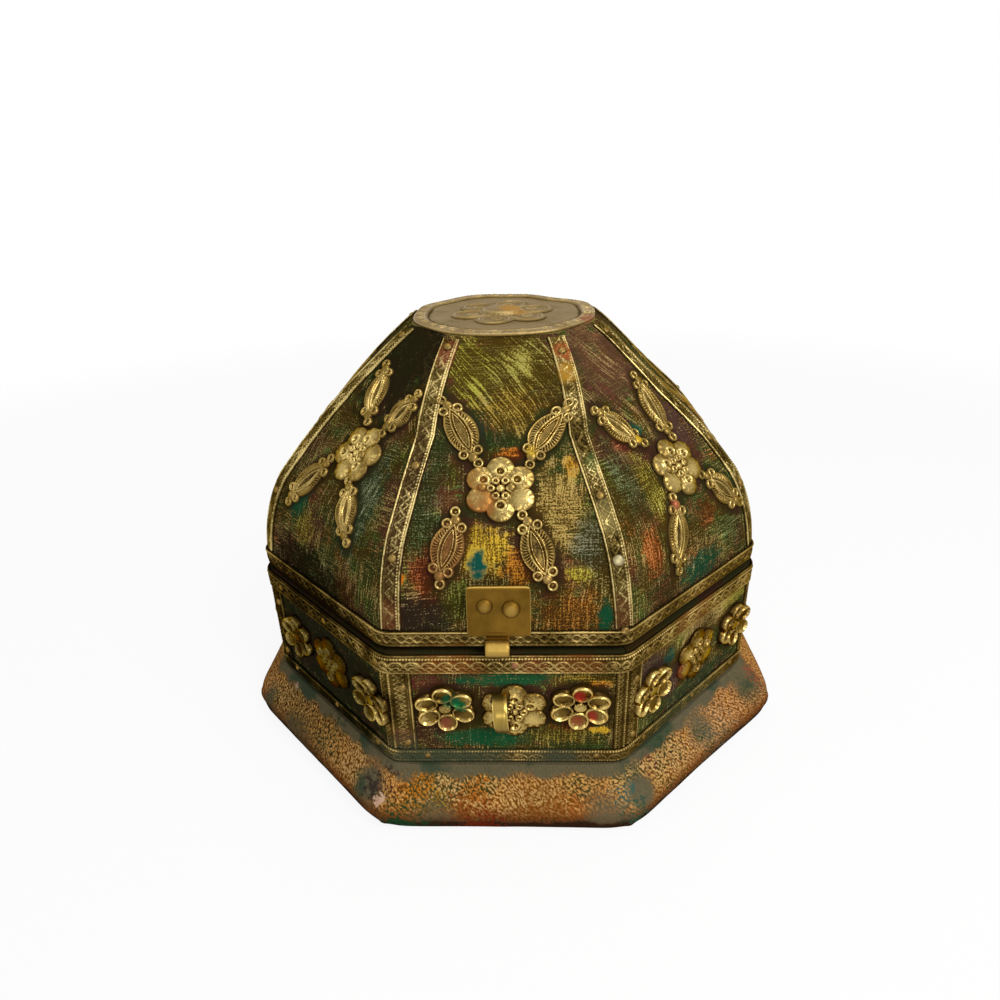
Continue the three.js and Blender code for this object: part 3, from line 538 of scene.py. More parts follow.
LID_PATCHES = (
    ((-1, 85), (14, 14), (0.44, 0.38, 0.07), 0.9, 0.10),
    ((-8, 84), (6, 11), (0.46, 0.42, 0.05), 0.8, 0.06),
    ((3, 71), (8, 8), (0.50, 0.33, 0.05), 0.8, 0.15),
    ((12, 97), (4.5, 7), (0.075, 0.030, 0.018), 0.85, -0.25),
    ((-9, 100), (6, 3), (0.022, 0.070, 0.026), 0.8, -0.1),
    ((-9, 63), (5, 7), (0.026, 0.042, 0.024), 0.85, -0.3),
    ((-1, 62), (6, 3), (0.08, 0.19, 0.08), 0.7, 0.15),
    ((3, 57.5), (5, 2.4), (0.70, 0.20, 0.02), 1.0, 0.5),
    ((-18, 56), (4, 12), (0.12, 0.15, 0.07), 0.7, 0.02),
    ((19.5, 53.5), (2.2, 3.5), (0.70, 0.34, 0.02), 0.95, 0.55),
    ((15, 42), (10, 13), (0.56, 0.38, 0.10), 0.9, 0.36),
    ((24, 32), (5, 8), (0.22, 0.25, 0.17), 0.8, 0.2),
    ((21, 24), (4, 2.6), (0.60, 0.50, 0.05), 0.85, 0.4),
    ((-5, 31), (8, 7), (0.78, 0.50, 0.04), 1.0, 0.40),
    ((5, 26), (5, 6), (0.66, 0.24, 0.02), 0.9, 0.4),
    ((-6.6, 26.9), (2.7, 4.4), (0.008, 0.085, 0.062), 1.0, 1.8),
    ((19, 12), (12, 8), (0.50, 0.20, 0.025), 0.9, 0.14),
    ((28.5, 12), (2.2, 5.2), (0.005, 0.075, 0.030), 0.95, -0.6),
    ((31.5, 17), (1.8, 4), (0.78, 0.38, 0.02), 0.95, 0.6),
    ((-23, 11), (9, 8), (0.026, 0.018, 0.010), 0.9, -0.4),
    ((-22, 40), (7, 13), (0.11, 0.16, 0.07), 0.8, 0.05),
    ((-15, 45), (3.6, 5), (0.13, 0.034, 0.018), 0.6, -0.02),
    ((-21, 24), (5, 7), (0.55, 0.10, 0.03), 0.8, 0.25),
    ((-28, 23), (1.5, 1.8), (0.70, 0.20, 0.02), 1.0, 0.9),
    ((-12, 17), (5, 6), (0.20, 0.28, 0.04), 0.7, 0.25),
    ((100, 84), (14, 15), (0.120, 0.055, 0.038), 0.9, -0.12),
    ((100, 84), (12, 14), (0.50, 0.30, 0.11), 0.7, 0.1),
    ((91, 40), (5, 13), (0.52, 0.44, 0.06), 0.9, 0.04),
    ((82, 47), (5, 12), (0.16, 0.19, 0.10), 0.7, 0.1),
    ((97, 59), (3, 2.4), (0.010, 0.090, 0.045), 0.9, -0.4),
    ((89, 57), (5, 3), (0.42, 0.08, 0.04), 0.8, 0.3),
    ((113, 58), (8, 12), (0.080, 0.040, 0.030), 0.8, -0.2),
    ((81, 25), (4, 8), (0.62, 0.18, 0.04), 0.9, 0.22),
    ((84, 8), (9, 8), (0.20, 0.07, 0.035), 0.8, 0.0),
    ((103, 12), (11, 5), (0.007, 0.055, 0.024), 0.9, -0.25),
    ((110, 27), (5, 5), (0.52, 0.13, 0.035), 0.8, 0.15),
    ((118, 33), (4, 4), (0.12, 0.026, 0.020), 0.8, -0.3),
    ((121, 19), (7, 9), (0.12, 0.20, 0.06), 0.75, 0.15),
    ((684, 31), (6, 6), (0.008, 0.085, 0.036), 0.85, -0.3),
    ((690, 23), (5, 7), (0.46, 0.34, 0.05), 0.75, 0.3),
    ((714, 38), (7, 16), (0.010, 0.055, 0.026), 0.85, -0.2),
    ((714, 40), (8, 18), (0.26, 0.30, 0.16), 0.7, 0.25),
    ((694, 10), (22, 9), (0.014, 0.011, 0.004), 0.9, -0.5),
    ((716, 13), (6, 8), (0.26, 0.10, 0.04), 0.7, 0.15),
    # Painted shade: the upper part of the front-left lid side, away from the key light, gets a near-black ground with
    # few marks.
    ((699, 84), (16, 22), (0.020, 0.017, 0.006), 0.95, -0.5),
)


def cloth_paint(name, all_patches, side, amount):
    """Dark paint over cloth, with two dry colours dragged over it. Each stays where its stretched noise, the threads
    or brush marks of one direction, and fine grain are high together. A side has its own patches of colour. Painted
    shade, given by its own attribute round the mounts and in the seam between lid and body, darkens the ground there
    and keeps the dry colour off it."""
    material, tree, shader = new_material(name)
    flat = node("UVMap", {"uv_map": "flat"}, tree=tree)
    cloud = components(noise(flat, 0.045, out="Color"))
    share = components(noise(flat, 0.09, out="Color"))
    tone = components(noise(flat, 0.10, 2, out="Color"))
    bent = wavering(flat, 0.05, 4)
    grain = noise(flat, 2.0, 3, 0.7)
    high = span(components(flat)[1], 56.0, 66.0)
    specks = (grain - 0.5) * span(high, 0, 1, 4.2, 2.8)

    def marks(angle, seed, across=2.1, along=0.13):
        """Noise drawn out along one direction."""
        turned = node("Mapping", _0=bent, Rotation=(0, 0, angle), Location=(seed, seed * 2, 0))
        return noise(node("Mapping", _0=turned, Scale=(across, along, 1)), 1.0, 2, 0.6)

    def mixed(factor, a, b):
        return node("Mix", {"data_type": "FLOAT"}, _0=factor, _2=a, _3=b)

    def dragged(mark, part, amount):
        """How far the dry colour stays: the marks and the specks, with a part that varies slowly."""
        return (mark - 0.5) * 3.4 + specks + ((part - 0.5) * 1.6 + amount)

    upright, level_wise, slanting = marks(0.05, 3), marks(1.55, 7), marks(-0.55, 11, 1.9, 0.06)
    turned_way = span(components(noise(flat, 0.028, 1, out="Color"))[0], 0.50, 0.58)
    level = dragged(mixed(high, mixed(turned_way, upright, level_wise), slanting), share[0], amount)
    cross = dragged(mixed(turned_way, level_wise, upright), share[1], amount - 0.05)
    glints = span(level, 0.6, 1.4, 0.0, 0.5)

    dark = blend_colour(span(cloud[1], 0.44, 0.54), (0.054, 0.034, 0.006), (0.032, 0.042, 0.010))
    dark = blend_colour(span(cloud[2], 0.51, 0.6), dark, (0.060, 0.026, 0.013))
    light = blend_colour(span(tone[0], 0.42, 0.55), (0.36, 0.28, 0.075), (0.46, 0.30, 0.090))
    light = blend_colour(span(tone[1], 0.54, 0.64), light, (0.24, 0.27, 0.045))
    light = blend_colour(span(tone[2], 0.60, 0.66), light, (0.44, 0.17, 0.03))
    second = blend_colour(span(tone[2], 0.42, 0.54), (0.10, 0.15, 0.035), (0.22, 0.13, 0.045))
    second = blend_colour(span(tone[0], 0.52, 0.60), second, (0.19, 0.045, 0.025))
    ragged = (noise(flat, 0.35) - 0.5) * 2.0
    for spot, reach, tint, strength, more in all_patches:
        if round(spot[0] / 100) != side:
            continue
        local = node("Mapping", _0=flat, Location=(-spot[0] / reach[0], -spot[1] / reach[1], 0),
                     Scale=(1 / reach[0], 1 / reach[1], 1))
        away = node("VectorMath", {"operation": "LENGTH"}, "Value", _0=local)
        mask = span(away + ragged, 0.5, 1.3, strength, 0.0)
        if more < 0:
            dark = blend_colour(mask, dark, tint)
            light = blend_colour(mask * 0.5, light, tuple(min(1, 2.2 * c + 0.04) for c in tint))
        else:
            dark = blend_colour(mask * 0.75, dark, tuple(k * c + 0.003 for k, c in zip((0.17, 0.11, 0.04), tint)))
            light = blend_colour(mask, light, tint)
            second = blend_colour(mask * 0.75, second, tuple(0.42 * c for c in tint))
        level, cross = level + mask * more, cross + mask * (0.8 * more)

    # Painted shade round the mounts and in the seam between lid and body: no dry colour there, and a darker ground.
    bare = attribute(tree, "bare")
    level, cross = level - bare, cross - bare
    rubbed = span(level, 0.18, 0.66)
    dark = blend_colour(bare * 0.5, dark, (0.030, 0.015, 0.009))
    light = blend_colour(glints, light, (0.62, 0.57, 0.36))
    colour = blend_colour(rubbed, blend_colour(span(cross, 0.1, 0.6, 0.0, 0.9), dark, second), light)
    colour = unpainted_behind(tree, colour, grain, (0.028, 0.015, 0.010), (0.05, 0.028, 0.018))
    plug(shader, Base_Color=colour, Roughness=span(rubbed, 0, 1, 0.5, 0.62), Specular_IOR_Level=0.0,
         Normal=bump(maths("MAXIMUM", level, cross), 0.35, 0.00025))
    return material


def side_paints(name, all_patches, amount):
    """A paint for each side: its own where it has patches, and otherwise a plain one that such sides share."""
    painted = {round(patch[0][0] / 100) for patch in all_patches}
    plain = cloth_paint(name, all_patches, -1, amount)
    return [
        cloth_paint(f"{name}_{SIDE_NAMES[side]}", all_patches, side, amount) if side in painted else plain
        for side in range(SIDES)
    ]


wall_paints = side_paints("wall_cloth_paint", WALL_PATCHES, -0.10)
lid_paints = side_paints("lid_cloth_paint", LID_PATCHES, -0.02)

board_places = {}


def leave_bare(board, share):
    """Give a board its share of painted shade at each point, and add it to what the board already has."""
    mesh = bpy.data.objects[board].data
    if "bare" not in mesh.attributes:
        mesh.attributes.new("bare", "FLOAT", "POINT")
    had = np.zeros(len(mesh.vertices), np.float32)
    mesh.attributes["bare"].data.foreach_get("value", had)
    mesh.attributes["bare"].data.foreach_set("value", np.maximum(had, share).astype(np.float32))


def round_oval(board, x0, y0, turn, half_length, half_width):
    """Paint shade on the ground round an oval mount: full out to its outline, and gone 1.5 mm further out."""
    x, y = board_places[board].T
    out = (x - x0) * math.cos(turn) + (y - y0) * math.sin(turn)
    aside = (y - y0) * math.cos(turn) - (x - x0) * math.sin(turn)
    away = (np.hypot(out / half_length, aside / half_width) - 1) * half_width
    leave_bare(board, np.clip(1.0 - away / 1.5, 0, 1))


wall_rows = np.linspace(PLINTH_TOP, WALL_TOP, 40)
wall_outside = np.stack([np.full(40, BODY_FLAT), wall_rows], -1)
wall_inside = np.stack([np.full(40, BODY_FLAT - WALL_THICK), wall_rows], -1)
for side, side_name in enumerate(SIDE_NAMES):
    part, uv = board_part(wall_outside, wall_inside, side)
    add_piece("wall_board_" + side_name, "body", part, wall_paints[side], ["wall_" + side_name], uv)
    board_places["wall_board_" + side_name] = uv - (100 * side, -PLINTH_TOP)
    # Painted shade at the top of each wall, in the seam under the lid.
    leave_bare("wall_board_" + side_name, uv[:, 1] > 39.0)


def bezier(a, b, c, steps):
    """Points of a quadratic curve through a and c, drawn towards b."""
    t = np.linspace(0, 1, steps)[:, None]
    a, b, c = map(np.array, (a, b, c))
    return (1 - t) ** 2 * a + 2 * t * (1 - t) * b + t ** 2 * c


# The lid's curve on the flat of a side: an upright skirt, a round shoulder and a long slope
lid_curve = np.concatenate([
    bezier((LID_FLAT, RIM_BAND[0]), (LID_FLAT - 0.6, 80.0), (74.5, 92.0), 120),
    bezier((74.5, 92.0), (55.1, 117.5), (30.2, LID_TOP), 240)[1:],
])
lid_along = np.r_[0, np.cumsum(np.hypot(*np.diff(lid_curve, axis=0).T))]
lid_slope = np.gradient(lid_curve, axis=0)
lid_slope /= np.hypot(*lid_slope.T)[:, None]
lid_out = np.stack([lid_slope[:, 1], -lid_slope[:, 0]], -1)


def lid_at(along):
    """Flat distance, height and outward direction of the lid's curve at a length along it."""
    return [np.interp(along, lid_along, values) for values in (*lid_curve.T, *lid_out.T)]


def out_of_true(points):
    """The lid's top as it was cut by hand: towards the crown the ridges on both sides of the front swing apart about
    the upright axis, and the top leans to the front, by amounts that grow with the height. The right side is cut
    further in over the shoulder."""
    x, y, z = points.T
    x = x - 1.7 * np.clip((x - 30) / 20, 0, 1) * np.clip((z - 104) / 12, 0, 1) * np.clip((138 - z) / 10, 0.3, 1)
    bearing, away = np.arctan2(x, -y), np.hypot(x, y)
    swing = 0.15 * np.exp(-((bearing - 0.39) / 0.36) ** 2) - 0.10 * np.exp(-((bearing + 0.39) / 0.36) ** 2)
    swing *= np.clip((z - 114) / 23, 0, 1) * np.clip((away - 20) / 8, 0, 1)
    c, s = np.cos(swing), np.sin(swing)
    return np.stack([x * c - y * s, x * s + y * c, z + 0.034 * y * np.clip((z - 118) / 19, 0, 1)], -1)


block_along = np.interp(BLOCK_BOTTOM, lid_curve[:, 1], lid_along)
flat, height, out_flat, out_up = lid_at(np.linspace(0, block_along, 90))
stave_outside = np.stack([
    np.r_[LID_FLAT - 1.2, LID_FLAT - 1.2, flat], np.r_[LID_BOTTOM, RIM_BAND[0] - 0.02, height],
], -1)
inner_flat, inner_up = flat - STAVE_THICK * out_flat, np.maximum(height - STAVE_THICK * out_up, LID_BOTTOM)
cut = np.interp(BLOCK_BOTTOM, inner_up, inner_flat) if inner_up[-1] > BLOCK_BOTTOM else (
    inner_flat[-1] + (BLOCK_BOTTOM - inner_up[-1]) * (inner_flat[-1] - inner_flat[-2]) / (inner_up[-1] - inner_up[-2]))
inner_up[-1], inner_flat[-1] = BLOCK_BOTTOM, cut
stave_inside = np.stack([
    np.r_[LID_FLAT - STAVE_THICK, LID_FLAT - STAVE_THICK, inner_flat], np.r_[LID_BOTTOM, LID_BOTTOM + 0.1, inner_up],
], -1)
for side, side_name in enumerate(SIDE_NAMES):
    part, uv = board_part(stave_outside, stave_inside, side, 40, 0.16)
    add_piece("lid_board_" + side_name, "lid", part, lid_paints[side], ["lid_stave_" + side_name], uv)
    board_places["lid_board_" + side_name] = uv - (100 * side, 2.78)
    # Painted shade at the foot of each lid side, in the seam over the body.
    leave_bare("lid_board_" + side_name, uv[:, 1] < 3.0)

# Top block: an octagon of board that closes the lid under the crown plate. Its edge goes on with the lid's curve, and
# it is painted together with the lid's sides.
BLOCK_COLUMNS, BLOCK_ROWS = 20, 12


def block_part():
    """Eight narrow fields that go on with the lid's curve, closed by a flat top and a flat underside."""
    columns = BLOCK_COLUMNS
    along = np.linspace(block_along, lid_along[-1], BLOCK_ROWS)
    flat, height = lid_at(along)[:2]
    share = np.linspace(-1, 1, columns)
    x, inward = soften(share * flat[:, None] * MITRE, flat[:, None] * MITRE)
    field = np.stack([x, -flat[:, None] + inward, height[:, None] + 0 * share], -1)
    field[..., 2] += 0.02 * (np.arange(BLOCK_ROWS) == 0)[:, None]
    fields = [turn_to_side(field[:, :-1], side) for side in range(SIDES)]
    points = np.concatenate(fields, 1)
    points = np.concatenate([points[:1] * [0.98, 0.98, 1], points])
    rows, steps = points.shape[:2]
    quads = grid_quads(rows, steps, ring_cols=True)
    caps = [list(range(steps - 1, -1, -1)), list(range((rows - 1) * steps, rows * steps))]
    flat, along = np.r_[flat[0], flat], np.r_[along[0], along]
    share_of = np.tile(share[:-1], SIDES)
    start = np.stack([
        share_of * flat[:, None] * MITRE + 100 * np.repeat(np.arange(SIDES), columns - 1),
        along[:, None] + 0 * share_of,
    ], -1)
    after = np.roll(start, -1, 1)
    last = np.arange(columns - 2, steps, columns - 1)
    after[:, last] = np.stack([flat[:, None] * MITRE + 100 * np.arange(SIDES), along[:, None] + 0.0 * last], -1)
    corners = np.stack([start[:-1], after[:-1], after[1:], start[1:]], 2).reshape(-1, 4, 2)
    return (points.reshape(-1, 3), quads, caps, np.r_[np.full(steps, -1.0), np.zeros((rows - 1) * steps)]), corners


part, uv = block_part()
lid_block = add_piece("lid_block", "lid", part, lid_paints[0], ["lid_top_block"], uv)
for paint in lid_paints[1:]:
    lid_block.data.materials.append(paint)
field_sides = np.tile(np.repeat(np.arange(SIDES), BLOCK_COLUMNS - 1), BLOCK_ROWS)
lid_block.data.polygons.foreach_set("material_index", np.r_[field_sides, 0, 0].astype(np.int32))

# Embossed strips: thin brass run between patterned rollers, with a row of beads along an edge, nailed over the joints
# of the boards. Hollows hold dark wax and paint, and hands have rubbed the tops bright.
def highest(*layers):
    """The highest of several reliefs at each point."""
    return np.max(np.broadcast_arrays(*layers), axis=0)


def beads(along, across, centre, radius, pitch, height):
    """A row of beads: at each pitch the upper part of a ball, whose height falls as a quarter circle."""
    gap = ((along / pitch) % 1 - 0.5) * pitch
    return height * np.sqrt(np.clip(1 - (gap ** 2 + (across - centre) ** 2) / radius ** 2, 0, 1))


def ridge(distance, half, height):
    """A rounded ridge, highest where the distance is 0 and gone at half a width from there."""
    return height * np.clip(1 - (distance / half) ** 2, 0, 1)


def zigzag(along, period, swing):
    """A line that goes straight from -swing to swing and back in each period."""
    return swing * (4 * np.abs(((along / period) % 1) - 0.5) - 1)


def arches(along, across, period, rise, foot, half, height):
    """A row of arches: ridges along half circles that are flattened to a rise above a foot line."""
    gap = (((along / period) % 1) - 0.5) * period
    radius = np.hypot(gap, (across - foot) * period / 2 / rise)
    return ridge(radius - period / 2 * 0.86, half, height) * (across > foot - 0.1)


def strip_part(face, rear, lift, ring=False):
    """A strip from its embossed face [rows, columns] and its plain rear, joined along its edges and at its ends."""
    rows, columns = face.shape[:2]
    behind = rear.shape[1]
    first = rows * columns
    i = np.arange(rows if ring else rows - 1)
    n = (i + 1) % rows
    a, b, c, d = i * columns, n * columns, first + n * behind, first + i * behind
    quads = np.concatenate([
        grid_quads(rows, columns, ring_rows=ring),
        grid_quads(rows, behind, ring_rows=ring, first=first)[:, ::-1],
        np.stack([a, b, c, d], -1),
        np.stack([b + columns - 1, a + columns - 1, d + behind - 1, c + behind - 1], -1),
    ])
    caps = []
    if not ring:
        top, under = np.arange(columns), first + np.arange(behind)
        caps = [
            [*top[::-1], *under],
            [*(top + (rows - 1) * columns), *(under + (rows - 1) * behind)[::-1]],
        ]
    points = np.concatenate([face.reshape(-1, 3), rear.reshape(-1, 3)])
    return points, quads, caps, np.concatenate([lift.ravel(), np.full(rows * behind, -1.0)])


def merged(parts):
    """Several closed surfaces as one mesh."""
    firsts = np.cumsum([0] + [len(part[0]) for part in parts[:-1]])
    return (
        np.concatenate([part[0] for part in parts]),
        np.concatenate([part[1] + first for part, first in zip(parts, firsts)]),
        [np.asarray(cap) + first for part, first in zip(parts, firsts) for cap in part[2]],
        np.concatenate([part[3] for part in parts]),
    )


def brass(name, groove, face, tip, shine=(0.62, 0.34), spots=(), soil=0.5, shade_and_grime=(), edge=(0.62, 0.44, 0.18, 1)):
    """Old sheet brass: colour, metal and gloss follow the lift, dark in the hollows and bright on the tops. Paint
    keeps to the hollows. A darkening covers all where it is given: painted shade on the left side, and grime on the
    right side's flowers."""
    material, tree, shader = new_material(name)
    place = in_millimetres(tree)
    cloud, fine = noise(place, 0.11), noise(place, 1.7, 4, 0.65)
    level = attribute(tree, "lift") + ((cloud - 0.5) * (1.4 * soil) + (fine - 0.5) * (1.2 * soil))
    low = span(level, 0.35, 0.95, 1.0, 0.2)
    colour = blend_colour(span(level, 0.05, 0.45), groove, face)
    colour = blend_colour(span(level, 0.5, 1.0), colour, tip)
    colour = paint_spots(place, cloud, colour, spots, low)
    # Painted shade on the left side, and grime, multiply the colour down.
    if shade_and_grime:
        shade_and_grime_factor = paint_spots(place, cloud, (1.0, 1.0, 1.0), shade_and_grime)
        colour = node("VectorMath", {"operation": "MULTIPLY"}, _0=colour, _1=shade_and_grime_factor)
    painted = [(spot, reach, (1, 1, 1), strength) for spot, reach, _, strength in spots]
    painted = paint_spots(place, cloud, (0.0, 0.0, 0.0), painted, low)
    metal = span(level, 0.1, 0.4, 0.2, 1.0) * (1.0 - painted * 0.8)
    plug(shader, Base_Color=colour, Metallic=metal, Roughness=span(level, 0.1, 0.9, *shine), Specular_IOR_Level=0.0,
         Specular_Tint=edge, Normal=bump(fine, 0.25, 0.00012))
    return material


# Painted shade: the strips on the left side, away from the key light, are darkened all through.
LEFT_SIDE_SHADE = (((-66.0, -58.0, 40.0), 50.0, (0.34, 0.33, 0.26), 1.0),)
STRIP_SPOTS = (
    ((-16, -84, 53), 11, (0.25, 0.07, 0.014), 0.55),
    ((8, -84, 54), 6, (0.22, 0.05, 0.02), 0.5),
    ((20, -84, 52.5), 10, (0.22, 0.068, 0.014), 0.55),
    ((-31, -84, 28), 5, (0.26, 0.08, 0.04), 0.4),
    ((-30, -84, 13), 20, (0.066, 0.076, 0.042), 0.95),
    ((-10, -84, 12), 21, (0.06, 0.074, 0.04), 0.95),
    ((12, -84, 11), 20, (0.068, 0.074, 0.042), 0.9),
    ((60, -60, 20.5), 26, (0.05, 0.06, 0.025), 0.75),
    ((-66, -54, 18), 44, (0.014, 0.02, 0.008), 0.9),
    ((-66, -54, 58), 44, (0.02, 0.014, 0.006), 0.9),
    ((60, -60, 54.5), 14, (0.3, 0.1, 0.03), 0.3),
)
strip_brass = brass(
    "embossed_brass", (0.014, 0.008, 0.002), (0.090, 0.055, 0.012), (0.48, 0.34, 0.115), spots=STRIP_SPOTS, soil=0.7,
    shade_and_grime=LEFT_SIDE_SHADE
)
RIB_SPOTS = (
    ((-15.5, -36.5, 133), 7, (0.26, 0.06, 0.035), 0.7),
    ((19.5, -34.5, 133), 5.5, (0.4, 0.1, 0.03), 0.7),
    ((18.5, -40, 127), 5, (0.5, 0.26, 0.03), 0.6),
    ((29, -72, 96), 6, (0.42, 0.34, 0.12), 0.3),
    ((26, -62, 107), 4, (0.1, 0.16, 0.05), 0.4),
    ((-34, -82, 70), 8, (0.22, 0.06, 0.03), 0.4),
    ((-30, -70, 100), 34, (0.045, 0.018, 0.01), 0.6),
    ((34, -82, 70), 9, (0.14, 0.045, 0.02), 0.5),
)
rib_brass = brass(
    "embossed_rib_brass", (0.018, 0.011, 0.003), (0.090, 0.060, 0.014), (0.56, 0.43, 0.17), spots=RIB_SPOTS, soil=1.0
)

BEAD_PITCH = 0.9


def octagon_band(flat, bottom, top, pattern, seed, tall=0.55, rows=320):
    """A band right round the octagon: its height is the pattern of the length along a side and the height up, and
    its edges wander a little."""
    share = np.linspace(-1, 1, rows + 1)[:-1][:, None]
    level = np.linspace(bottom, top, round((top - bottom) / 0.2) + 1)[None, :]
    faces, rears, lifts = [], [], []
    for side in range(SIDES):
        s = share * flat * MITRE + 80
        relief = pattern(s + 0.3 * soft_noise(s, level, seed, 30), level - bottom)
        relief = relief + 0.05 * soft_noise(s + 70 * side, level, seed, 7)
        half = (flat + 0.25 + relief) * MITRE
        x, inward = soften(share * half, half)
        edges = np.sin(np.pi * (share + 1) / 2) * 0.22 * soft_noise(s + 70 * side, 0 * s, seed + 1, 40)
        face = np.stack([x, -(flat + 0.25 + relief) + inward, level + edges + 0 * x], -1)
        rear_half = (flat - 0.1) * MITRE
        x, inward = soften(share * rear_half, rear_half)
        ends = level[:, [0, -1]]
        rear = np.stack([x + 0 * ends, inward - flat + 0.1 + 0 * ends, ends + edges], -1)
        faces.append(turn_to_side(face, side))
        rears.append(turn_to_side(rear, side))
        lifts.append(0.3 + 0.7 * relief / tall)
    return strip_part(np.concatenate(faces), np.concatenate(rears), np.concatenate(lifts), ring=True)


def foot_pattern(s, z):
    """A beaded upper edge, a row of arches over a wavy line, and a second, finer row of beads at the foot."""
    return highest(
        beads(s, z, 4.25, 0.46, BEAD_PITCH, 0.52),
        arches(s, z, 4.8, 1.9, 1.3, 0.42, 0.30),
        arches(s, z, 2.4, 0.9, 1.3, 0.34, 0.22),
        beads(s, z, 0.75, 0.42, 0.84, 0.32),
        ridge(z - 3.45, 0.2, 0.2),
    )


def top_pattern(s, z):
    """A folded upper edge, a row of beads over two rows of arches, the lower row half as wide, and a lower ridge."""
    return highest(
        ridge(z - 6.1, 0.3, 0.34),
        beads(s, z, 5.1, 0.46, BEAD_PITCH, 0.55),
        arches(s, z, 4.7, 1.8, 2.5, 0.44, 0.48),
        arches(s, z, 2.1, 0.9, 2.5, 0.3, 0.34),
        arches(s + 1.2, z, 2.35, 0.95, 1.4, 0.36, 0.42),
        arches(s, z, 2.35, 0.9, 0.5, 0.32, 0.34),
        ridge(z - 0.3, 0.34, 0.4),
    )


def rim_pattern(s, z):
    """A plain folded upper edge over a running leaf wave, with a low ridge at the lower edge."""
    return highest(
        ridge(z - 4.65, 0.36, 0.55),
        ridge(z - 2.3 - 0.8 * np.sin(s * 2 * np.pi / 4.4), 0.38, 0.4),
        arches(s, z, 2.2, 1.0, 2.9, 0.3, 0.34),
        arches(s + 1.1, z, 2.2, 0.9, 0.9, 0.3, 0.3),
        ridge(z - 0.35, 0.3, 0.25),
    )


for name, body, flat, (bottom, top), pattern, plain_band in (
    ("foot_strip", "body", 83.45, FOOT_BAND, foot_pattern, "foot_band"),
    ("top_strip", "body", 83.45, TOP_BAND, top_pattern, "top_band"),
    ("rim_strip", "lid", 82.7, RIM_BAND, rim_pattern, "lid_rim_band"),
):
    part = octagon_band(flat, bottom, top, pattern, len(name))
    add_piece(name, body, part, strip_brass, [plain_band], crease=180)


# Corner strips: the same brass folded over the upright corners, with a narrow leg on one side and a wide one on the
# next. Ribs: strips folded over the lid's eight ridges, from the rim up to the crown plate.
def corner_pattern(s, w):
    """Beads on the fold, a plain bright outer edge, and crossing zigzags down the middle of the wide leg."""
    return highest(
        beads(s, w, 0.9, 0.47, BEAD_PITCH, 0.45),
        beads(s, w, -1.9, 0.45, BEAD_PITCH, 0.36),
        ridge(w - 7.15, 0.42, 0.42),
        ridge((w - 4.0 - zigzag(s, 3.2, 1.5)) * 0.48, 0.22, 0.36),
        ridge((w - 4.0 + zigzag(s, 3.2, 1.5)) * 0.48, 0.22, 0.36),
        ridge(np.hypot((s / 3.2 % 1 - 0.5) * 3.2, w - 4.0), 0.5, 0.42),
        ridge(w - 6.3, 0.25, 0.2),
        ridge((w + 0.9 - zigzag(s, 1.7, 0.45)) * 0.7, 0.24, 0.3),
    )


def rib_pattern(s, w):
    """A plain bright rim with a row of beads inside it on one edge, and crossing zigzags over fine scrolls between."""
    scroll = ridge(soft_noise(s, w, 71, 2.4), 0.07, 0.26) * (np.abs(w) < 1.9)
    return highest(
        beads(s, w, 1.95, 0.47, BEAD_PITCH, 0.46),
        ridge(np.abs(w) - 2.65, 0.34, 0.5),
        ridge(w + 1.9, 0.22, 0.2),
        ridge((w - zigzag(s + 1.1 * soft_noise(s, w, 61, 11), 4.7, 1.2)) * 0.67, 0.28, 0.3),
        ridge((w + zigzag(s + 1.1 * soft_noise(s, w, 62, 13), 3.9, 1.2)) * 0.6, 0.24, 0.26),
        scroll,
    )


def folded_strip(side, flat, height, out_flat, out_up, along, near, far, pattern, drift=0.0, tall=0.5, step=0.22):
    """A strip folded over the softened ridge between a side and the next. Each point lies on the face of its side of
    the ridge, moved out by the pattern, and the strip drifts across the ridge by a length that may change along it."""
    w = np.linspace(-near, far, int((near + far) / step) + 1)[None, :]
    flat, height, out_flat, out_up, along = [v[:, None] for v in (flat, height, out_flat, out_up, along)]

    def lay(w, h):
        out = flat + h * out_flat
        fold = out * MITRE
        x, inward = soften(fold - np.abs(w), fold)
        up = height + h * out_up + 0 * w
        on_this = np.stack([x, inward - out, up], -1)
        on_next = np.stack([-x, inward - out, up], -1)
        return np.where((w > 0)[..., None], turn_to_side(on_next, side + 1), turn_to_side(on_this, side))

    relief = pattern(along + 0.25 * soft_noise(along, w, side + 3, 20), w)
    relief = relief + 0.05 * soft_noise(along, w, side + 5, 6)
    edges = 0.2 * soft_noise(along, 0 * along, side + 9, 26)
    shift = (drift if np.ndim(drift) == 0 else drift[:, None]) + edges
    face = lay(w + shift, 0.3 + relief)
    rear = lay(np.linspace(-near, far, 5)[None, :] + shift, -0.15 + 0 * along)
    return strip_part(face, rear, 0.3 + 0.7 * relief / tall)


rise = np.linspace(23.4, 51.7, 118)
for side in range(SIDES):
    still = np.full(len(rise), BODY_FLAT)
    part = folded_strip(side, still, rise, 1 + 0 * still, 0 * still, rise, 2.6, 7.6, corner_pattern)
    add_piece(f"corner_cover_{side + 1}", "body", part, strip_brass, [f"corner_strip_{side + 1}"],
              crease=180)

# How far each rib's strip lies off its ridge, towards the next side, at lengths up the lid
RIB_DRIFT = {
    0: ((0, 27, 47, 70, 90, 105), (-0.4, -0.7, -1.6, -1.5, -0.6, 0.2)),
    7: ((0, 30, 55, 75, 90, 105), (2.8, 2.1, 1.8, 1.2, 0.5, -0.2)),
    1: ((0, 30, 60, 105), (-0.6, -1.2, -1.4, -0.8)),
    6: ((0, 30, 60, 105), (1.4, 2.0, 2.2, 1.4)),
}
PLAIN_DRIFT = (0, 30, 60, 105), (0.5, 0.3, -0.1, -0.6)


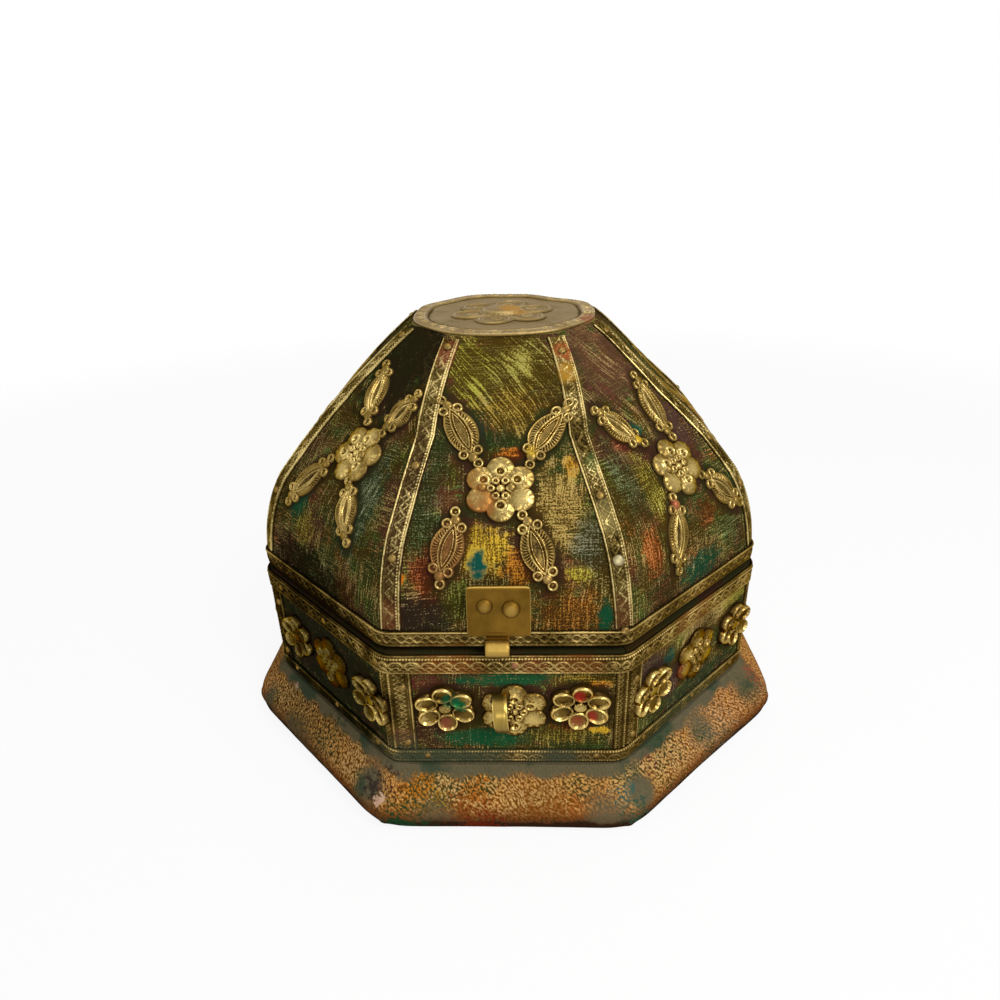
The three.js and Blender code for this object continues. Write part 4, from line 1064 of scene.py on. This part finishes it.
def rib_drift(side, along):
    """The drift of a rib's strip at a length along the lid's curve, on a cubic drawn through its places."""
    places, drifts = RIB_DRIFT.get(side, PLAIN_DRIFT)
    return np.polyval(np.polyfit(np.array(places) / 100, drifts, 3), np.asarray(along) / 100)


first, last = np.interp((66.3, 136.1), lid_curve[:, 1], lid_along)
rib_along = np.arange(first, last, 0.25)
for side in range(SIDES):
    drift = rib_drift(side, rib_along)
    part = folded_strip(side, *lid_at(rib_along), rib_along, 2.95, 2.95, rib_pattern, drift, step=0.19)
    add_piece(f"rib_cover_{side + 1}", "lid", part, rib_brass, [f"lid_rib_{side + 1}"], crease=180)

# Lid mounts: on each side a stamped six-petalled flower with four pointed leaves round it, small rings at the leaves'
# ends, and nails through them. They are thin brass, beaten up from behind.
SHALLOW = {2: 0.45, 6: 0.45}


def on_lid(side, x0, y0, turn=0.0):
    """A placer that lays [x, y, height] on a side of the lid: across, along its curve, and out from it. The mounts of
    the left and right sides are beaten up less."""
    def place(x, y, h):
        h = h * SHALLOW.get(side, 1.0)
        across = x0 + x * math.cos(turn) - y * math.sin(turn)
        flat, up, out_flat, out_up = lid_at(y0 + x * math.sin(turn) + y * math.cos(turn))
        return turn_to_side(np.stack([across, -(flat + h * out_flat), up + h * out_up], -1), side)
    return place


def stamped(place, x, y, height, tall, sink=-0.2):
    """A closed piece from rings of points, the first the innermost: its stamped face, its edge and its rear."""
    rings, steps = x.shape
    face, rear = place(x, y, height), place(x[-1], y[-1], np.full(steps, sink))
    j = np.arange(steps)
    n = (j + 1) % steps
    outer, first = (rings - 1) * steps, rings * steps
    quads = np.concatenate([
        grid_quads(rings, steps, ring_cols=True),
        np.stack([outer + j, outer + n, first + n, first + j], -1),
    ])
    points = np.concatenate([face.reshape(-1, 3), rear])
    return points, quads, [j[::-1], first + j], np.concatenate([(height / tall).ravel(), np.zeros(steps)])


def rings_of(outline, rings, steps):
    """Points on rings that shrink an outline, given as a radius for each angle, to a dot at its middle."""
    turn = np.arange(steps) / steps * 2 * np.pi
    share = np.linspace(0.02, 1, rings)[:, None]
    return share * outline(turn) * np.cos(turn), share * outline(turn) * np.sin(turn)


def lobes(count, reach, radius, first=np.pi / 2):
    """The outline of a flower: for each angle the far side of the circle round the nearest petal's middle."""
    def outline(turn):
        off = (turn - first + np.pi / count) % (2 * np.pi / count) - np.pi / count
        return reach * np.cos(off) + np.sqrt(radius ** 2 - (reach * np.sin(off)) ** 2)
    return outline


def from_petal(x, y, count, reach, first=np.pi / 2):
    """Each point's place from the middle of its nearest petal: outwards, sideways, and the petal's number."""
    number = np.round((np.arctan2(y, x) - first) / (2 * np.pi / count))
    angle = number * 2 * np.pi / count + first
    out = x * np.cos(angle) + y * np.sin(angle) - reach
    return out, y * np.cos(angle) - x * np.sin(angle), number % count


def domed_flower(place, reach=5.9, radius=3.6, ringed=(1, 1, 0, 1, 0, 1), tall=2.1, flatten=None):
    """Petals are domes with fine flutes on their outer half, some with a pierced ring; small pierced bosses ring
    the middle."""
    x, y = rings_of(lobes(6, reach, radius), 34, 132)
    out, aside, number = from_petal(x, y, 6, reach)
    q = np.hypot(out, aside) / radius
    dome = 0.35 + 1.25 * np.sqrt(np.clip(1 - 0.86 * q ** 2, 0, 1))
    flutes = np.cos(9 * np.arctan2(aside, out)) * np.clip((q - 0.45) / 0.3, 0, 1) * (out > -0.4 * radius)
    q_ring = np.hypot(out + 0.28 * radius, aside) / (0.36 * radius)
    ring = ridge(q_ring - 1, 0.42, 0.5) - ridge(q_ring, 0.75, 0.85)
    height = dome + 0.11 * flutes + ring * np.asarray(ringed)[number.astype(int)]
    out, aside, _ = from_petal(x, y, 6, 0.42 * reach, np.pi / 3)
    q = np.hypot(out, aside) / (0.17 * reach)
    bosses = 1.1 + ridge(q - 0.75, 0.55, 0.75) - ridge(q, 0.4, 0.6)
    height = np.where(q < 1.25, np.maximum(bosses, 1.0), height)
    middle = np.hypot(x, y) / (0.2 * reach)
    height = np.where(middle < 1.1, 1.2 + ridge(middle, 1.1, 0.7), height)
    height = np.where(np.hypot(x, y) > 0.985 * np.hypot(x[-1], y[-1]), 0.3, height)
    if flatten:
        under = (np.abs(1.1 * x - flatten[0]) < flatten[1]) & (np.abs(y) > flatten[2])
        height = np.where(under, np.minimum(height, 0.9), height)
    height = height + 0.10 * soft_noise(x, y, 7 + sum(ringed), 5) * (height > 0.5)
    return stamped(place, 1.1 * x, y, height, tall)


def leaf(place, length=13.8, width=9.4, tall=1.65):
    """A pointed oval: a border of radial ribs round a bright ridge along two arcs, and a hollow with a finer ridge."""
    turn = np.arange(192) / 192 * 2 * np.pi
    share = np.linspace(0.03, 1, 26)[:, None]
    side = np.sign(np.sin(turn)) * np.abs(np.sin(turn)) ** 1.5
    x, y = share * length / 2 * np.cos(turn), share * width / 2 * side
    edge = np.hypot(np.diff(np.append(x[-1], x[-1, 0])), np.diff(np.append(y[-1], y[-1, 0])))
    arc = np.r_[0, np.cumsum(edge)[:-1]]
    ribs = 1 - 0.85 * (0.5 + 0.5 * np.cos(arc * 2 * np.pi / (edge.sum() / 36))) ** 2
    border = np.sqrt(np.clip(1 - ((share - 0.72) / 0.19) ** 2, 0, 1))
    gap = np.abs(y) - 0.23 * width * (1 - (2.3 * x / length) ** 2)
    height = 0.35 + 0.6 * border * ribs * (gap > 0.3) + ridge(share - 0.95, 0.07, 0.4) * (gap > 0.3)
    inner = np.abs(y) - 0.135 * width * (1 - (2.9 * x / length) ** 2)
    height = height + ridge(gap, 0.5, 0.85) + (gap < -0.4) * ridge(inner, 0.32, 0.55)
    height = height + 0.12 * soft_noise(x, y, 23, 2.5) * (gap < -0.4)
    height[-1] = 0.25
    points, quads, caps, lift = stamped(place, x, y, height, tall)
    lift[: x.size] += ((gap < -0.4) * (ridge(inner, 0.32, 0.35) + 0.04)).ravel()
    return points, quads, caps, lift


def ringlet(place, radius=1.75, tall=1.6):
    """A small stamped ring with a hollow middle."""
    x, y = rings_of(lambda turn: radius + 0 * turn, 8, 20)
    q = np.hypot(x, y) / radius
    return stamped(place, x, y, 0.3 + ridge(q - 0.66, 0.34, 0.85) + ridge(q, 0.3, 0.25), tall)


def nail(place, radius=1.7, high=1.5, tall=2.9):
    """A nail's head: a low dome with a rounded edge."""
    x, y = rings_of(lambda turn: radius + 0 * turn, 7, 20)
    q = np.hypot(x, y) / radius
    return stamped(place, x, y, high * (0.7 + 0.3 * (1 - q ** 2)) * np.sqrt(np.clip(1.02 - q ** 6, 0, 1)), tall)


MOUNT_SPOTS = (
    ((-15.5, -77.7, 88.7), 13, (0.26, 0.08, 0.028), 0.4),
    ((-7.2, -65.9, 104.6), 4.5, (0.42, 0.16, 0.03), 0.5),
    ((-6.2, -70.4, 99.2), 5.5, (0.4, 0.13, 0.03), 0.55),
    ((-6, -74.5, 101), 5, (0.34, 0.12, 0.03), 0.55),
    ((12, -81.5, 82), 6, (0.34, 0.13, 0.05), 0.3),
    ((8.4, -60.5, 110.9), 2.4, (0.62, 0.4, 0.04), 0.8),
    ((50.3, -56.5, 91.8), 2.2, (0.42, 0.11, 0.06), 0.8),
    ((40.2, -47.6, 109.1), 1.8, (0.66, 0.4, 0.03), 0.9),
)
mount_brass = brass(
    "beaten_brass", (0.036, 0.020, 0.008), (0.200, 0.130, 0.034), (0.58, 0.43, 0.15), (0.45, 0.22), MOUNT_SPOTS, 0.6
)

# What is at both ends of a leaf: how far past the end, how far aside, and which piece
LEAF_ENDS = (-1.2, 2.1, ringlet), (-1.2, -2.1, ringlet), (0.4, 0.1, nail), (2.6, 0.9, ringlet)
# Each side's flower, and its leaves from the far end to the near end, [across, along the curve from its foot]
PLAIN_SPRAY = (0, 45), ((-14.4, 68, -7.6, 54.4), (14.4, 68, 7.6, 54.4), (-15.4, 21, -9, 35), (15.4, 21, 9, 35))
SPRAYS = {
    "front": ((-0.2, 44.8), (
        (-13.9, 69.8, -8.2, 54.6), (16.4, 67.6, 8.6, 54.6), (-17, 21.8, -12.6, 35.6), (12, 20.6, 7.4, 35),
    )),
    "front_right": ((4.6, 41), (
        (-14, 64.6, -5.4, 53.2), (11.6, 69.6, 9.4, 52.6), (-9, 15.6, -4, 30.6), (25, 23.4, 15.6, 34),
    )),
    "front_left": ((2.6, 49), (
        (-7.6, 77, -2.6, 61.6), (14.4, 70.4, 8.8, 60.4), (-19.6, 28.8, -9.4, 41.6), (12.4, 26.4, 6.8, 38.4),
    )),
}
for side, side_name in enumerate(SIDE_NAMES):
    (x0, y0), leaves = SPRAYS.get(side_name, PLAIN_SPRAY)
    pieces = [domed_flower(on_lid(side, x0, y0, 0.1 * side))]
    round_oval("lid_board_" + side_name, x0, y0, 0, 9.4, 9.0)
    for x, y in ((-5.0, 0.4), (3.0, 0.2)):
        pieces.append(nail(on_lid(side, x0 + x, y0 + y), 1.6, 2.2, 4.2))
    for far_x, far_y, near_x, near_y in leaves:
        length = math.hypot(far_x - near_x, far_y - near_y) + 0.4
        turn = math.atan2(far_y - near_y, far_x - near_x)
        mid_x, mid_y = (far_x + near_x) / 2, (far_y + near_y) / 2
        pieces.append(leaf(on_lid(side, mid_x, mid_y, turn), length))
        round_oval("lid_board_" + side_name, mid_x, mid_y, turn, length / 2 + 3.4, 4.3)
        for end in (-1, 1):
            for out, aside, kind in LEAF_ENDS:
                along = end * (length / 2 + out)
                aside *= end
                spot = (
                    mid_x + along * math.cos(turn) - aside * math.sin(turn),
                    mid_y + along * math.sin(turn) + aside * math.cos(turn),
                )
                pieces.append(kind(on_lid(side, *spot)))
    add_piece("lid_spray_" + side_name, "lid", merged(pieces), mount_brass,
              ["lid_mount_" + side_name], crease=60)


# Wall flowers: three in a row on each side, nailed through the middle. The middle one is domed as on the lid, and the
# outer two have six cups with bright rims.
def on_wall(side, x0, z0, turn=0.0):
    """A placer that lays [x, y, height] on a side of the body: across, up, and out from it."""
    def place(x, y, h):
        h = h * SHALLOW.get(side, 1.0)
        across = x0 + x * math.cos(turn) - y * math.sin(turn)
        up = z0 + x * math.sin(turn) + y * math.cos(turn)
        return turn_to_side(np.stack([across, -(BODY_FLAT + h), up], -1), side)
    return place


def cupped_flower(place, reach=5.2, radius=3.45, tall=2.0):
    """Six oval cups, each a high rounded rim round a hollow, and a flat boss in the middle."""
    x, y = rings_of(lobes(6, reach, radius), 30, 120)
    out, aside, _ = from_petal(x, y, 6, reach)
    q = np.hypot(out / (radius * 0.96), aside / (radius * 0.84))
    height = 0.35 + 0.5 * np.clip((0.95 - q) / 0.2, 0, 1) + ridge(q - 0.86, 0.2, 1.2) + 0.25 * np.clip(out, -1.5, 1.5)
    height = height + 0.1 * soft_noise(x, y, 3, 5)
    middle = np.hypot(x, y) / 1.75
    height = np.where(middle < 1, 1.15 + 0.35 * np.sqrt(np.clip(1 - middle ** 4, 0, 1)), height)
    height = np.where(np.hypot(x, y) > 0.985 * np.hypot(x[-1], y[-1]), 0.25, height)
    return stamped(place, 1.12 * x, 0.94 * y, height, tall)


FLOWER_SPOTS = (
    ((-15.5, -84, 42.5), 3.4, (0.02, 0.13, 0.05), 0.9),
    ((-13, -84, 40.5), 2.6, (0.01, 0.16, 0.05), 0.9),
    ((-17.6, -84, 34), 2.6, (0.22, 0.05, 0.03), 0.8),
    ((21.6, -84, 44), 2.6, (0.34, 0.03, 0.015), 1),
    ((25, -84, 36.6), 3, (0.3, 0.04, 0.02), 1),
    ((20.6, -84, 34.6), 3.4, (0.26, 0.04, 0.02), 0.9),
    ((11.5, -84, 33), 3, (0.25, 0.06, 0.02), 0.5),
    ((56, -64, 36), 5, (0.28, 0.07, 0.03), 0.6),
)
# The wall flowers on the left side are darkened as painted shade, those on the right by grime.
FLOWER_SHADE_AND_GRIME = (
    ((-62, -62, 40), 48, (0.24, 0.24, 0.2), 1),
    ((74, -54, 36), 36, (0.66, 0.62, 0.6), 1),
)
flower_brass = brass(
    "wall_flower_brass", (0.022, 0.012, 0.004), (0.140, 0.082, 0.017), (0.56, 0.40, 0.125), (0.42, 0.22), FLOWER_SPOTS,
    0.7, FLOWER_SHADE_AND_GRIME
)
WALL_ROWS = {
    "front": ((-17.6, 39.5), (2.6, 38.4), (21.8, 39.9)),
    "front_right": ((-21.2, 37.6), (2.4, 38.4), (25.8, 38.2)),
    "front_left": ((-18.1, 38.0), (3.1, 38.2), (26.1, 37.4)),
}
for side, side_name in enumerate(SIDE_NAMES):
    left, middle, right = WALL_ROWS.get(side_name, ((-20.0, 38.0), (2.4, 38.0), (24.6, 38.0)))
    pieces = [
        domed_flower(on_wall(side, *middle), flatten=(-3.85, 2.6, 3.6) if side == 0 else None),
        nail(on_wall(side, middle[0] + 1.7, middle[1] + 4.0), 1.4, 2.1, 3.2),
        nail(on_wall(side, middle[0] + 5.0, middle[1] + 3.7), 1.3, 2.0, 3.4),
    ]
    add_piece("wall_rosette_" + side_name, "body", merged(pieces), flower_brass,
              ["wall_flower_" + side_name], crease=60)
    for x, z in (left, middle, right):
        round_oval("wall_board_" + side_name, x, z, 0, 9.2, 8.0)
    for word, (x, z), turn in (("left", left, 0.12), ("right", right, -0.1)):
        add_piece(f"wall_cups_{side_name}_{word}", "body",
                  cupped_flower(on_wall(side, x, z, turn)), flower_brass, crease=60)

# Crown: a round plate of dull brass nailed on top of the lid, with a raised rim, and on it a stamped six-petalled
# medallion round a smooth oval boss.
def on_crown(x0, y0, z0):
    """A placer that lays [x, y, height] flat on the lid's top."""
    return lambda x, y, h: np.stack([x0 + x, y0 + y, z0 + h + 0 * x], -1)


CROWN_RADIUS = 30.8
crown_brass = brass(
    "dull_crown_brass", (0.070, 0.044, 0.012), (0.200, 0.131, 0.040), (0.42, 0.31, 0.14), (0.6, 0.42), (
        ((3.5, -1.0, 139.4), 7.0, (0.44, 0.23, 0.05), 1.0),
        ((28.5, -12.5, 137.8), 7.0, (0.30, 0.06, 0.03), 0.8),
    ), 0.45, edge=(1, 0.97, 0.92, 1)
)


def crown_disc():
    """A sheet that is bossed up in a flat ring at its edge, with a low step round the field, and lightly dented."""
    share = np.concatenate([np.linspace(0.01, 0.8, 46), np.linspace(0.81, 1, 34)])[:, None]
    turn = np.arange(600) / 600 * 2 * np.pi
    behind = np.clip(np.sin(turn) * 3, 0, 1)
    wave = 1 + (0.008 + 0.018 * behind) * np.cos(8 * (turn - TURN / 2)) + 0.004 * np.sin(3 * turn + 1)
    wave = wave - 0.085 * np.exp(-((turn - 1.02) / 0.34) ** 2) + 0.02 * np.exp(-((turn - 2.1) / 0.3) ** 2)
    x, y = share * CROWN_RADIUS * wave * np.cos(turn), share * CROWN_RADIUS * wave * np.sin(turn)
    r = share * CROWN_RADIUS + 0 * turn
    rim = np.clip((r - 25.9) / 0.9, 0, 1) ** 2 * (3 - 2 * np.clip((r - 25.9) / 0.9, 0, 1))
    gap = ((turn * 28.3 / 5.93 + 0.3) % 1 - 0.5) * 5.93
    marks = np.maximum(ridge(np.hypot(gap, r - 28.3) - 1.2, 0.45, 0.3), beads(turn * 28.3, r, 30.0, 0.4, 1.27, 0.2))
    marks = np.maximum(marks, ridge(r - 27.2, 0.4, 0.2))
    lap = 0.35 * (np.abs(x - 28.6) < 2.6) * (np.abs(y + 1) < 4.5)
    height = 0.55 + 0.35 * rim + lap - 0.3 * np.clip((r - 30.4) / 0.4, 0, 1) ** 2 + marks
    height = height + ridge(r - 23.8, 0.7, 0.18) + 0.12 * soft_noise(x, y, 41, 22)
    tone = 0.42 + 0.15 * rim + marks + 0.5 * lap + 0.3 * np.exp(-((r - 30.6) / 0.15) ** 2)
    tone = tone - 0.35 * np.exp(-((r - 25.7) / 0.6) ** 2) - 0.2 * np.clip((29.9 - r) / 0.4, 0, 1) * (r > 29.5)
    points, quads, caps, lift = stamped(on_crown(0, 0, 137.0), x, y, height, 1.0, 0.02)
    lift[: tone.size] = tone.ravel()
    return points, quads, caps, lift


def medallion():
    """Six petals, each a hollow with a rolled rim and a pierced ring, and a smooth oval boss in the middle."""
    x, y = rings_of(lobes(6, 11.2, 6.6, 0.3), 60, 216)
    out, aside, _ = from_petal(x, y, 6, 11.2, 0.3)
    q = np.hypot(out / 6.1, aside / 5.5)
    ring = np.hypot(out + 0.6, aside - 0.8) / 2.0
    height = 0.12 + ridge(q - 0.9, 0.10, 0.42) + ridge(q - 0.68, 0.08, 0.25) + ridge(ring - 0.75, 0.4, 0.35)
    height = height + 0.14 * soft_noise(x, y, 19, 6)
    middle = np.hypot(x / 6.9, y / 6.2)
    height = np.where(middle < 1.12, 0.4, height)
    height = np.where(middle < 1, 0.6 + 1.3 * np.sqrt(np.clip(1 - middle ** 3, 0, 1)), height)
    height = np.where(np.hypot(x, y) > 0.99 * np.hypot(x[-1], y[-1]), 0.2, height)
    points, quads, caps, lift = stamped(on_crown(-0.5, 0, 137.6), x, y, height, 1.7, -0.1)
    lift[: middle.size] = np.where(middle < 1, 0.5 + 0.2 * (middle > 0.85), 0.25 + height / 1.1).ravel()
    return points, quads, caps, lift


add_piece("crown_disc", "lid", crown_disc(), crown_brass, ["crown_plate"], crease=50)
add_piece("crown_rosette", "lid", medallion(), crown_brass, ["crown_medallion"], crease=60)

# Hasp plate: a plain square of thicker brass nailed to the lid with two nails. Its lower edge is rolled into a knuckle
# for the swinging hasp, which is lost. Staple: a flat strap bent to a bow, with its ends driven through the front.
def smooth_brass(name, base, bright, rough):
    """Plain rolled brass: brushed along, a little tarnished, with bright edges from the lift: worn brass, and on the
    hasp plate and its knuckle partly a painted highlight.
    """
    material, tree, shader = new_material(name)
    place = in_millimetres(tree)
    tone = noise(node("Mapping", _0=place, Scale=(2.4, 2.4, 0.12)), 1.0, 4, 0.6) * 0.3 + noise(place, 0.16) * 0.8
    colour = blend_colour(span(tone, 0.35, 0.8), tuple(0.6 * c for c in base), base)
    colour = blend_colour(span(attribute(tree, "lift"), 0.55, 1.0), colour, bright)
    plug(shader, Base_Color=colour, Metallic=1.0, Roughness=span(tone, 0.3, 0.8, rough + 0.15, rough),
         Normal=bump(tone, 0.2, 0.0001))
    return material


plate_brass = smooth_brass("plate_brass", (0.205, 0.108, 0.014), (0.48, 0.31, 0.07), 0.42)
staple_brass = smooth_brass("strap_brass", (0.40, 0.27, 0.060), (0.66, 0.48, 0.14), 0.25)
HASP_LEFT, HASP_RIGHT, HASP_LOW, HASP_HIGH = -9.9, 7.7, 65.1, 80.1
KNUCKLE_OUT, KNUCKLE_UP, KNUCKLE_RADIUS, KNUCKLE_BORE = 85.9, 62.3, 2.3, 1.2


def hasp_face(x, z):
    """How far out the plate's outer face is: it leans in with the lid and is a little hollow in the middle."""
    share = (z - HASP_LOW) / (HASP_HIGH - HASP_LOW)
    hollow = 0.22 * (1 - ((x + 1.1) / 8.8) ** 2) * np.sin(np.pi * np.clip(share, 0, 1))
    return 84.5 - 1.8 * share - hollow


def plate_part():
    """A flat grid whose edge is rounded over and whose corners are clipped to a small radius."""
    u, v = np.linspace(-1, 1, 56)[:, None], np.linspace(-1, 1, 48)[None, :]
    ease = lambda t: np.sign(t) * (1 - (1 - np.abs(t)) ** 1.5)
    u, v = ease(u), ease(v)
    corner = 1 - 0.035 * (np.abs(u) * np.abs(v)) ** 12
    x = (HASP_LEFT + HASP_RIGHT) / 2 + u * corner * (HASP_RIGHT - HASP_LEFT) / 2
    z = (HASP_LOW + HASP_HIGH) / 2 + v * corner * (HASP_HIGH - HASP_LOW) / 2
    edge = np.minimum((1 - np.abs(u)) * 8.8, (1 - np.abs(v)) * 7.5) + 0 * x
    round_over = 0.4 * np.clip(1 - edge / 0.5, 0, 1) ** 2
    face = np.stack([x, -(hasp_face(x, z) - round_over), z], -1)
    rear = np.stack([x[:, [0, -1]], -(hasp_face(x, z)[:, [0, -1]] - 1.0), z[:, [0, -1]]], -1)
    # The bright line along the rounded edge is worn brass and partly a painted highlight.
    lift = 0.2 + 0.8 * np.exp(-((edge - 0.1) / 0.22) ** 2)
    points, quads, caps, lifts = strip_part(face, rear, lift)
    return points, quads, caps, np.maximum(lifts, 0)


def tube_part(left, right, out, up, radius, bore):
    """A short tube across the front: an outer and an inner wall, with rounded ends."""
    profile = np.array([
        (left + 0.3, bore), (left, bore + 0.2), (left, radius - 0.3), (left + 0.1, radius - 0.1), (left + 0.35, radius),
        *((x, radius) for x in np.linspace(left + 1, right - 1, 14)),
        (right - 0.35, radius), (right - 0.1, radius - 0.1), (right, radius - 0.3), (right, bore + 0.2),
        (right - 0.3, bore),
    ])
    turn = np.arange(56) / 56 * 2 * np.pi
    x = profile[:, 0][None, :] + 0 * turn[:, None]
    r = profile[:, 1][None, :]
    points = np.stack([x, -(out + r * np.cos(turn)[:, None]), up + r * np.sin(turn)[:, None]], -1)
    rows, cols = x.shape
    quads = grid_quads(rows, cols, ring_rows=True, ring_cols=True)
    # The whole knuckle takes the bright colour: worn brass, and partly a painted highlight on the rolled edge.
    return points.reshape(-1, 3), quads, [], np.full(rows * cols, 0.87)


def on_hasp(x0, z0):
    """A placer that lays [x, y, height] on the hasp plate's outer face."""
    return lambda x, y, h: np.stack([x0 + x, -(hasp_face(x0 + x, z0 + y) + h), z0 + y], -1)


def strap_part(line, out_from, left, right, thick, soft=0.25, columns=9):
    """A strap along a line [out, up]: a section with rounded edges is carried along it, square to the line."""
    step = np.gradient(line, axis=0)
    step /= np.hypot(*step.T)[:, None]
    normal = np.stack([step[:, 1], -step[:, 0]], -1)
    half = (right - left) / 2
    top = np.linspace(-1, 1, columns)
    edge = np.clip((np.abs(top) - 0.75) / 0.25, 0, 1) ** 2
    loop_x = np.r_[top, top[::-1]] * half + (left + right) / 2
    loop_h = np.r_[thick - soft * edge, soft * edge[::-1]]
    points = np.stack([
        loop_x[None, :] + 0 * line[:, :1],
        -(out_from + line[:, :1] + normal[:, :1] * loop_h),
        line[:, 1:] + normal[:, 1:] * loop_h,
    ], -1)
    rows, cols = points.shape[:2]
    quads = grid_quads(rows, cols, ring_cols=True)
    lift = np.tile(np.r_[0.25 + 0.75 * edge, 0.1 + 0 * edge], rows)
    caps = [list(range(cols - 1, -1, -1)), list(range((rows - 1) * cols, rows * cols))]
    return points.reshape(-1, 3), quads, caps, lift


neck = np.stack([
    np.r_[np.full(6, 0.0), 0.15, 0.5, 1.0, 1.4],
    np.r_[np.linspace(HASP_LOW + 1.5, HASP_LOW - 0.2, 6), 64.7, 64.45, 64.4, 64.4],
], -1)
hasp_parts = [
    plate_part(),
    tube_part(-4.9, 1.7, KNUCKLE_OUT, KNUCKLE_UP, KNUCKLE_RADIUS, KNUCKLE_BORE),
    strap_part(neck[::-1], 83.4, -4.9, 1.7, 0.9),
    nail(on_hasp(-4.9, 74.4), 2.3, 1.1, 1.5),
    nail(on_hasp(2.3, 73.6), 2.6, 1.5, 1.9),
]
add_piece("hasp_square", "lid", merged(hasp_parts), plate_brass, ["hasp_plate"], crease=50)

angle = np.linspace(0, np.pi, 60)
bow = np.stack([-1.2 + 7.1 * np.sin(angle) ** 0.8, 38.4 - 5.6 * np.cos(angle)], -1)
bow = np.concatenate([[(-4.0, 32.8), (-2.6, 32.8)], bow, [(-2.6, 44.0), (-4.0, 44.0)]])
points, quads, caps, lift = strap_part(bow, BODY_FLAT, -3.3, 0.8, 0.9)
points[:, 0] += 0.09 * (40.0 - points[:, 2])
add_piece("staple_bow", "body", (points, quads, caps, lift), staple_brass, ["staple"], crease=50)


# Hinge at the back: two plain brass leaves whose knuckles turn on a pin, let in behind the rim. The CAD's own shapes
# are right and stay, with this finish.
hinge_brass = smooth_brass("hinge_brass", (0.20, 0.13, 0.040), (0.36, 0.25, 0.09), 0.4)
for hinge_node in ("hinge_body_leaf", "hinge_lid_leaf", "hinge_pin"):
    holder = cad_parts[hinge_node]
    holder.data.materials.clear()
    holder.data.materials.append(hinge_brass)


# Nails: small round brass heads, driven through the strips at the corners, along the bands and up the ribs. One on the
# right front rib is a later, bright steel one.
nail_brass = brass(
    "nail_brass", (0.04, 0.025, 0.010), (0.20, 0.125, 0.036), (0.50, 0.36, 0.13), (0.5, 0.3), (
        ((3.1, -84.5, 54.4), 4.0, (0.36, 0.12, 0.08), 0.7),
    ), 0.4
)
body_nails, lid_nails = [], []


def on_rib(side, along):
    """A placer on the middle of a rib's strip, on whichever side of the ridge that is."""
    half, off = np.interp(along, lid_along, lid_curve[:, 0]) * MITRE, rib_drift(side, along)
    return on_lid(side, half + off, along) if off <= 0 else on_lid((side + 1) % SIDES, off - half, along)


RIB_NAILS = {0: (4.6, 42.6, 89.0), 7: (26.0, 52.0, 91.4)}
for side in range(SIDES):
    shift = 0.4 * math.sin(side * 2.3)
    for x, z in ((3.1 + shift, 54.8), (31.0 - shift, 54.6), (-25.0, 54.8), (-29.6, 46.8 + shift), (-29.6, 26.0)):
        body_nails.append(nail(on_wall(side, x, z), 1.35, 1.15, 1.9))
    for x in (-24.0, 3.0, 27.0):
        body_nails.append(nail(on_wall(side, x + shift, 20.8), 1.2, 1.05, 1.9))
    for along in RIB_NAILS.get(side, (27.2, 45.0, 91.0)):
        lid_nails.append(nail(on_rib(side, along), 1.35, 1.0, 1.7))
add_piece("body_nails", "body", merged(body_nails), nail_brass, crease=60)
add_piece("lid_nails", "lid", merged(lid_nails), nail_brass, crease=60)
bright_steel = smooth_brass("bright_steel", (0.42, 0.35, 0.18), (0.80, 0.69, 0.40), 0.35)
add_piece("lid_nail_steel", "lid", nail(on_rib(0, 24.9), 1.7, 0.9, 1.3), bright_steel, crease=60)
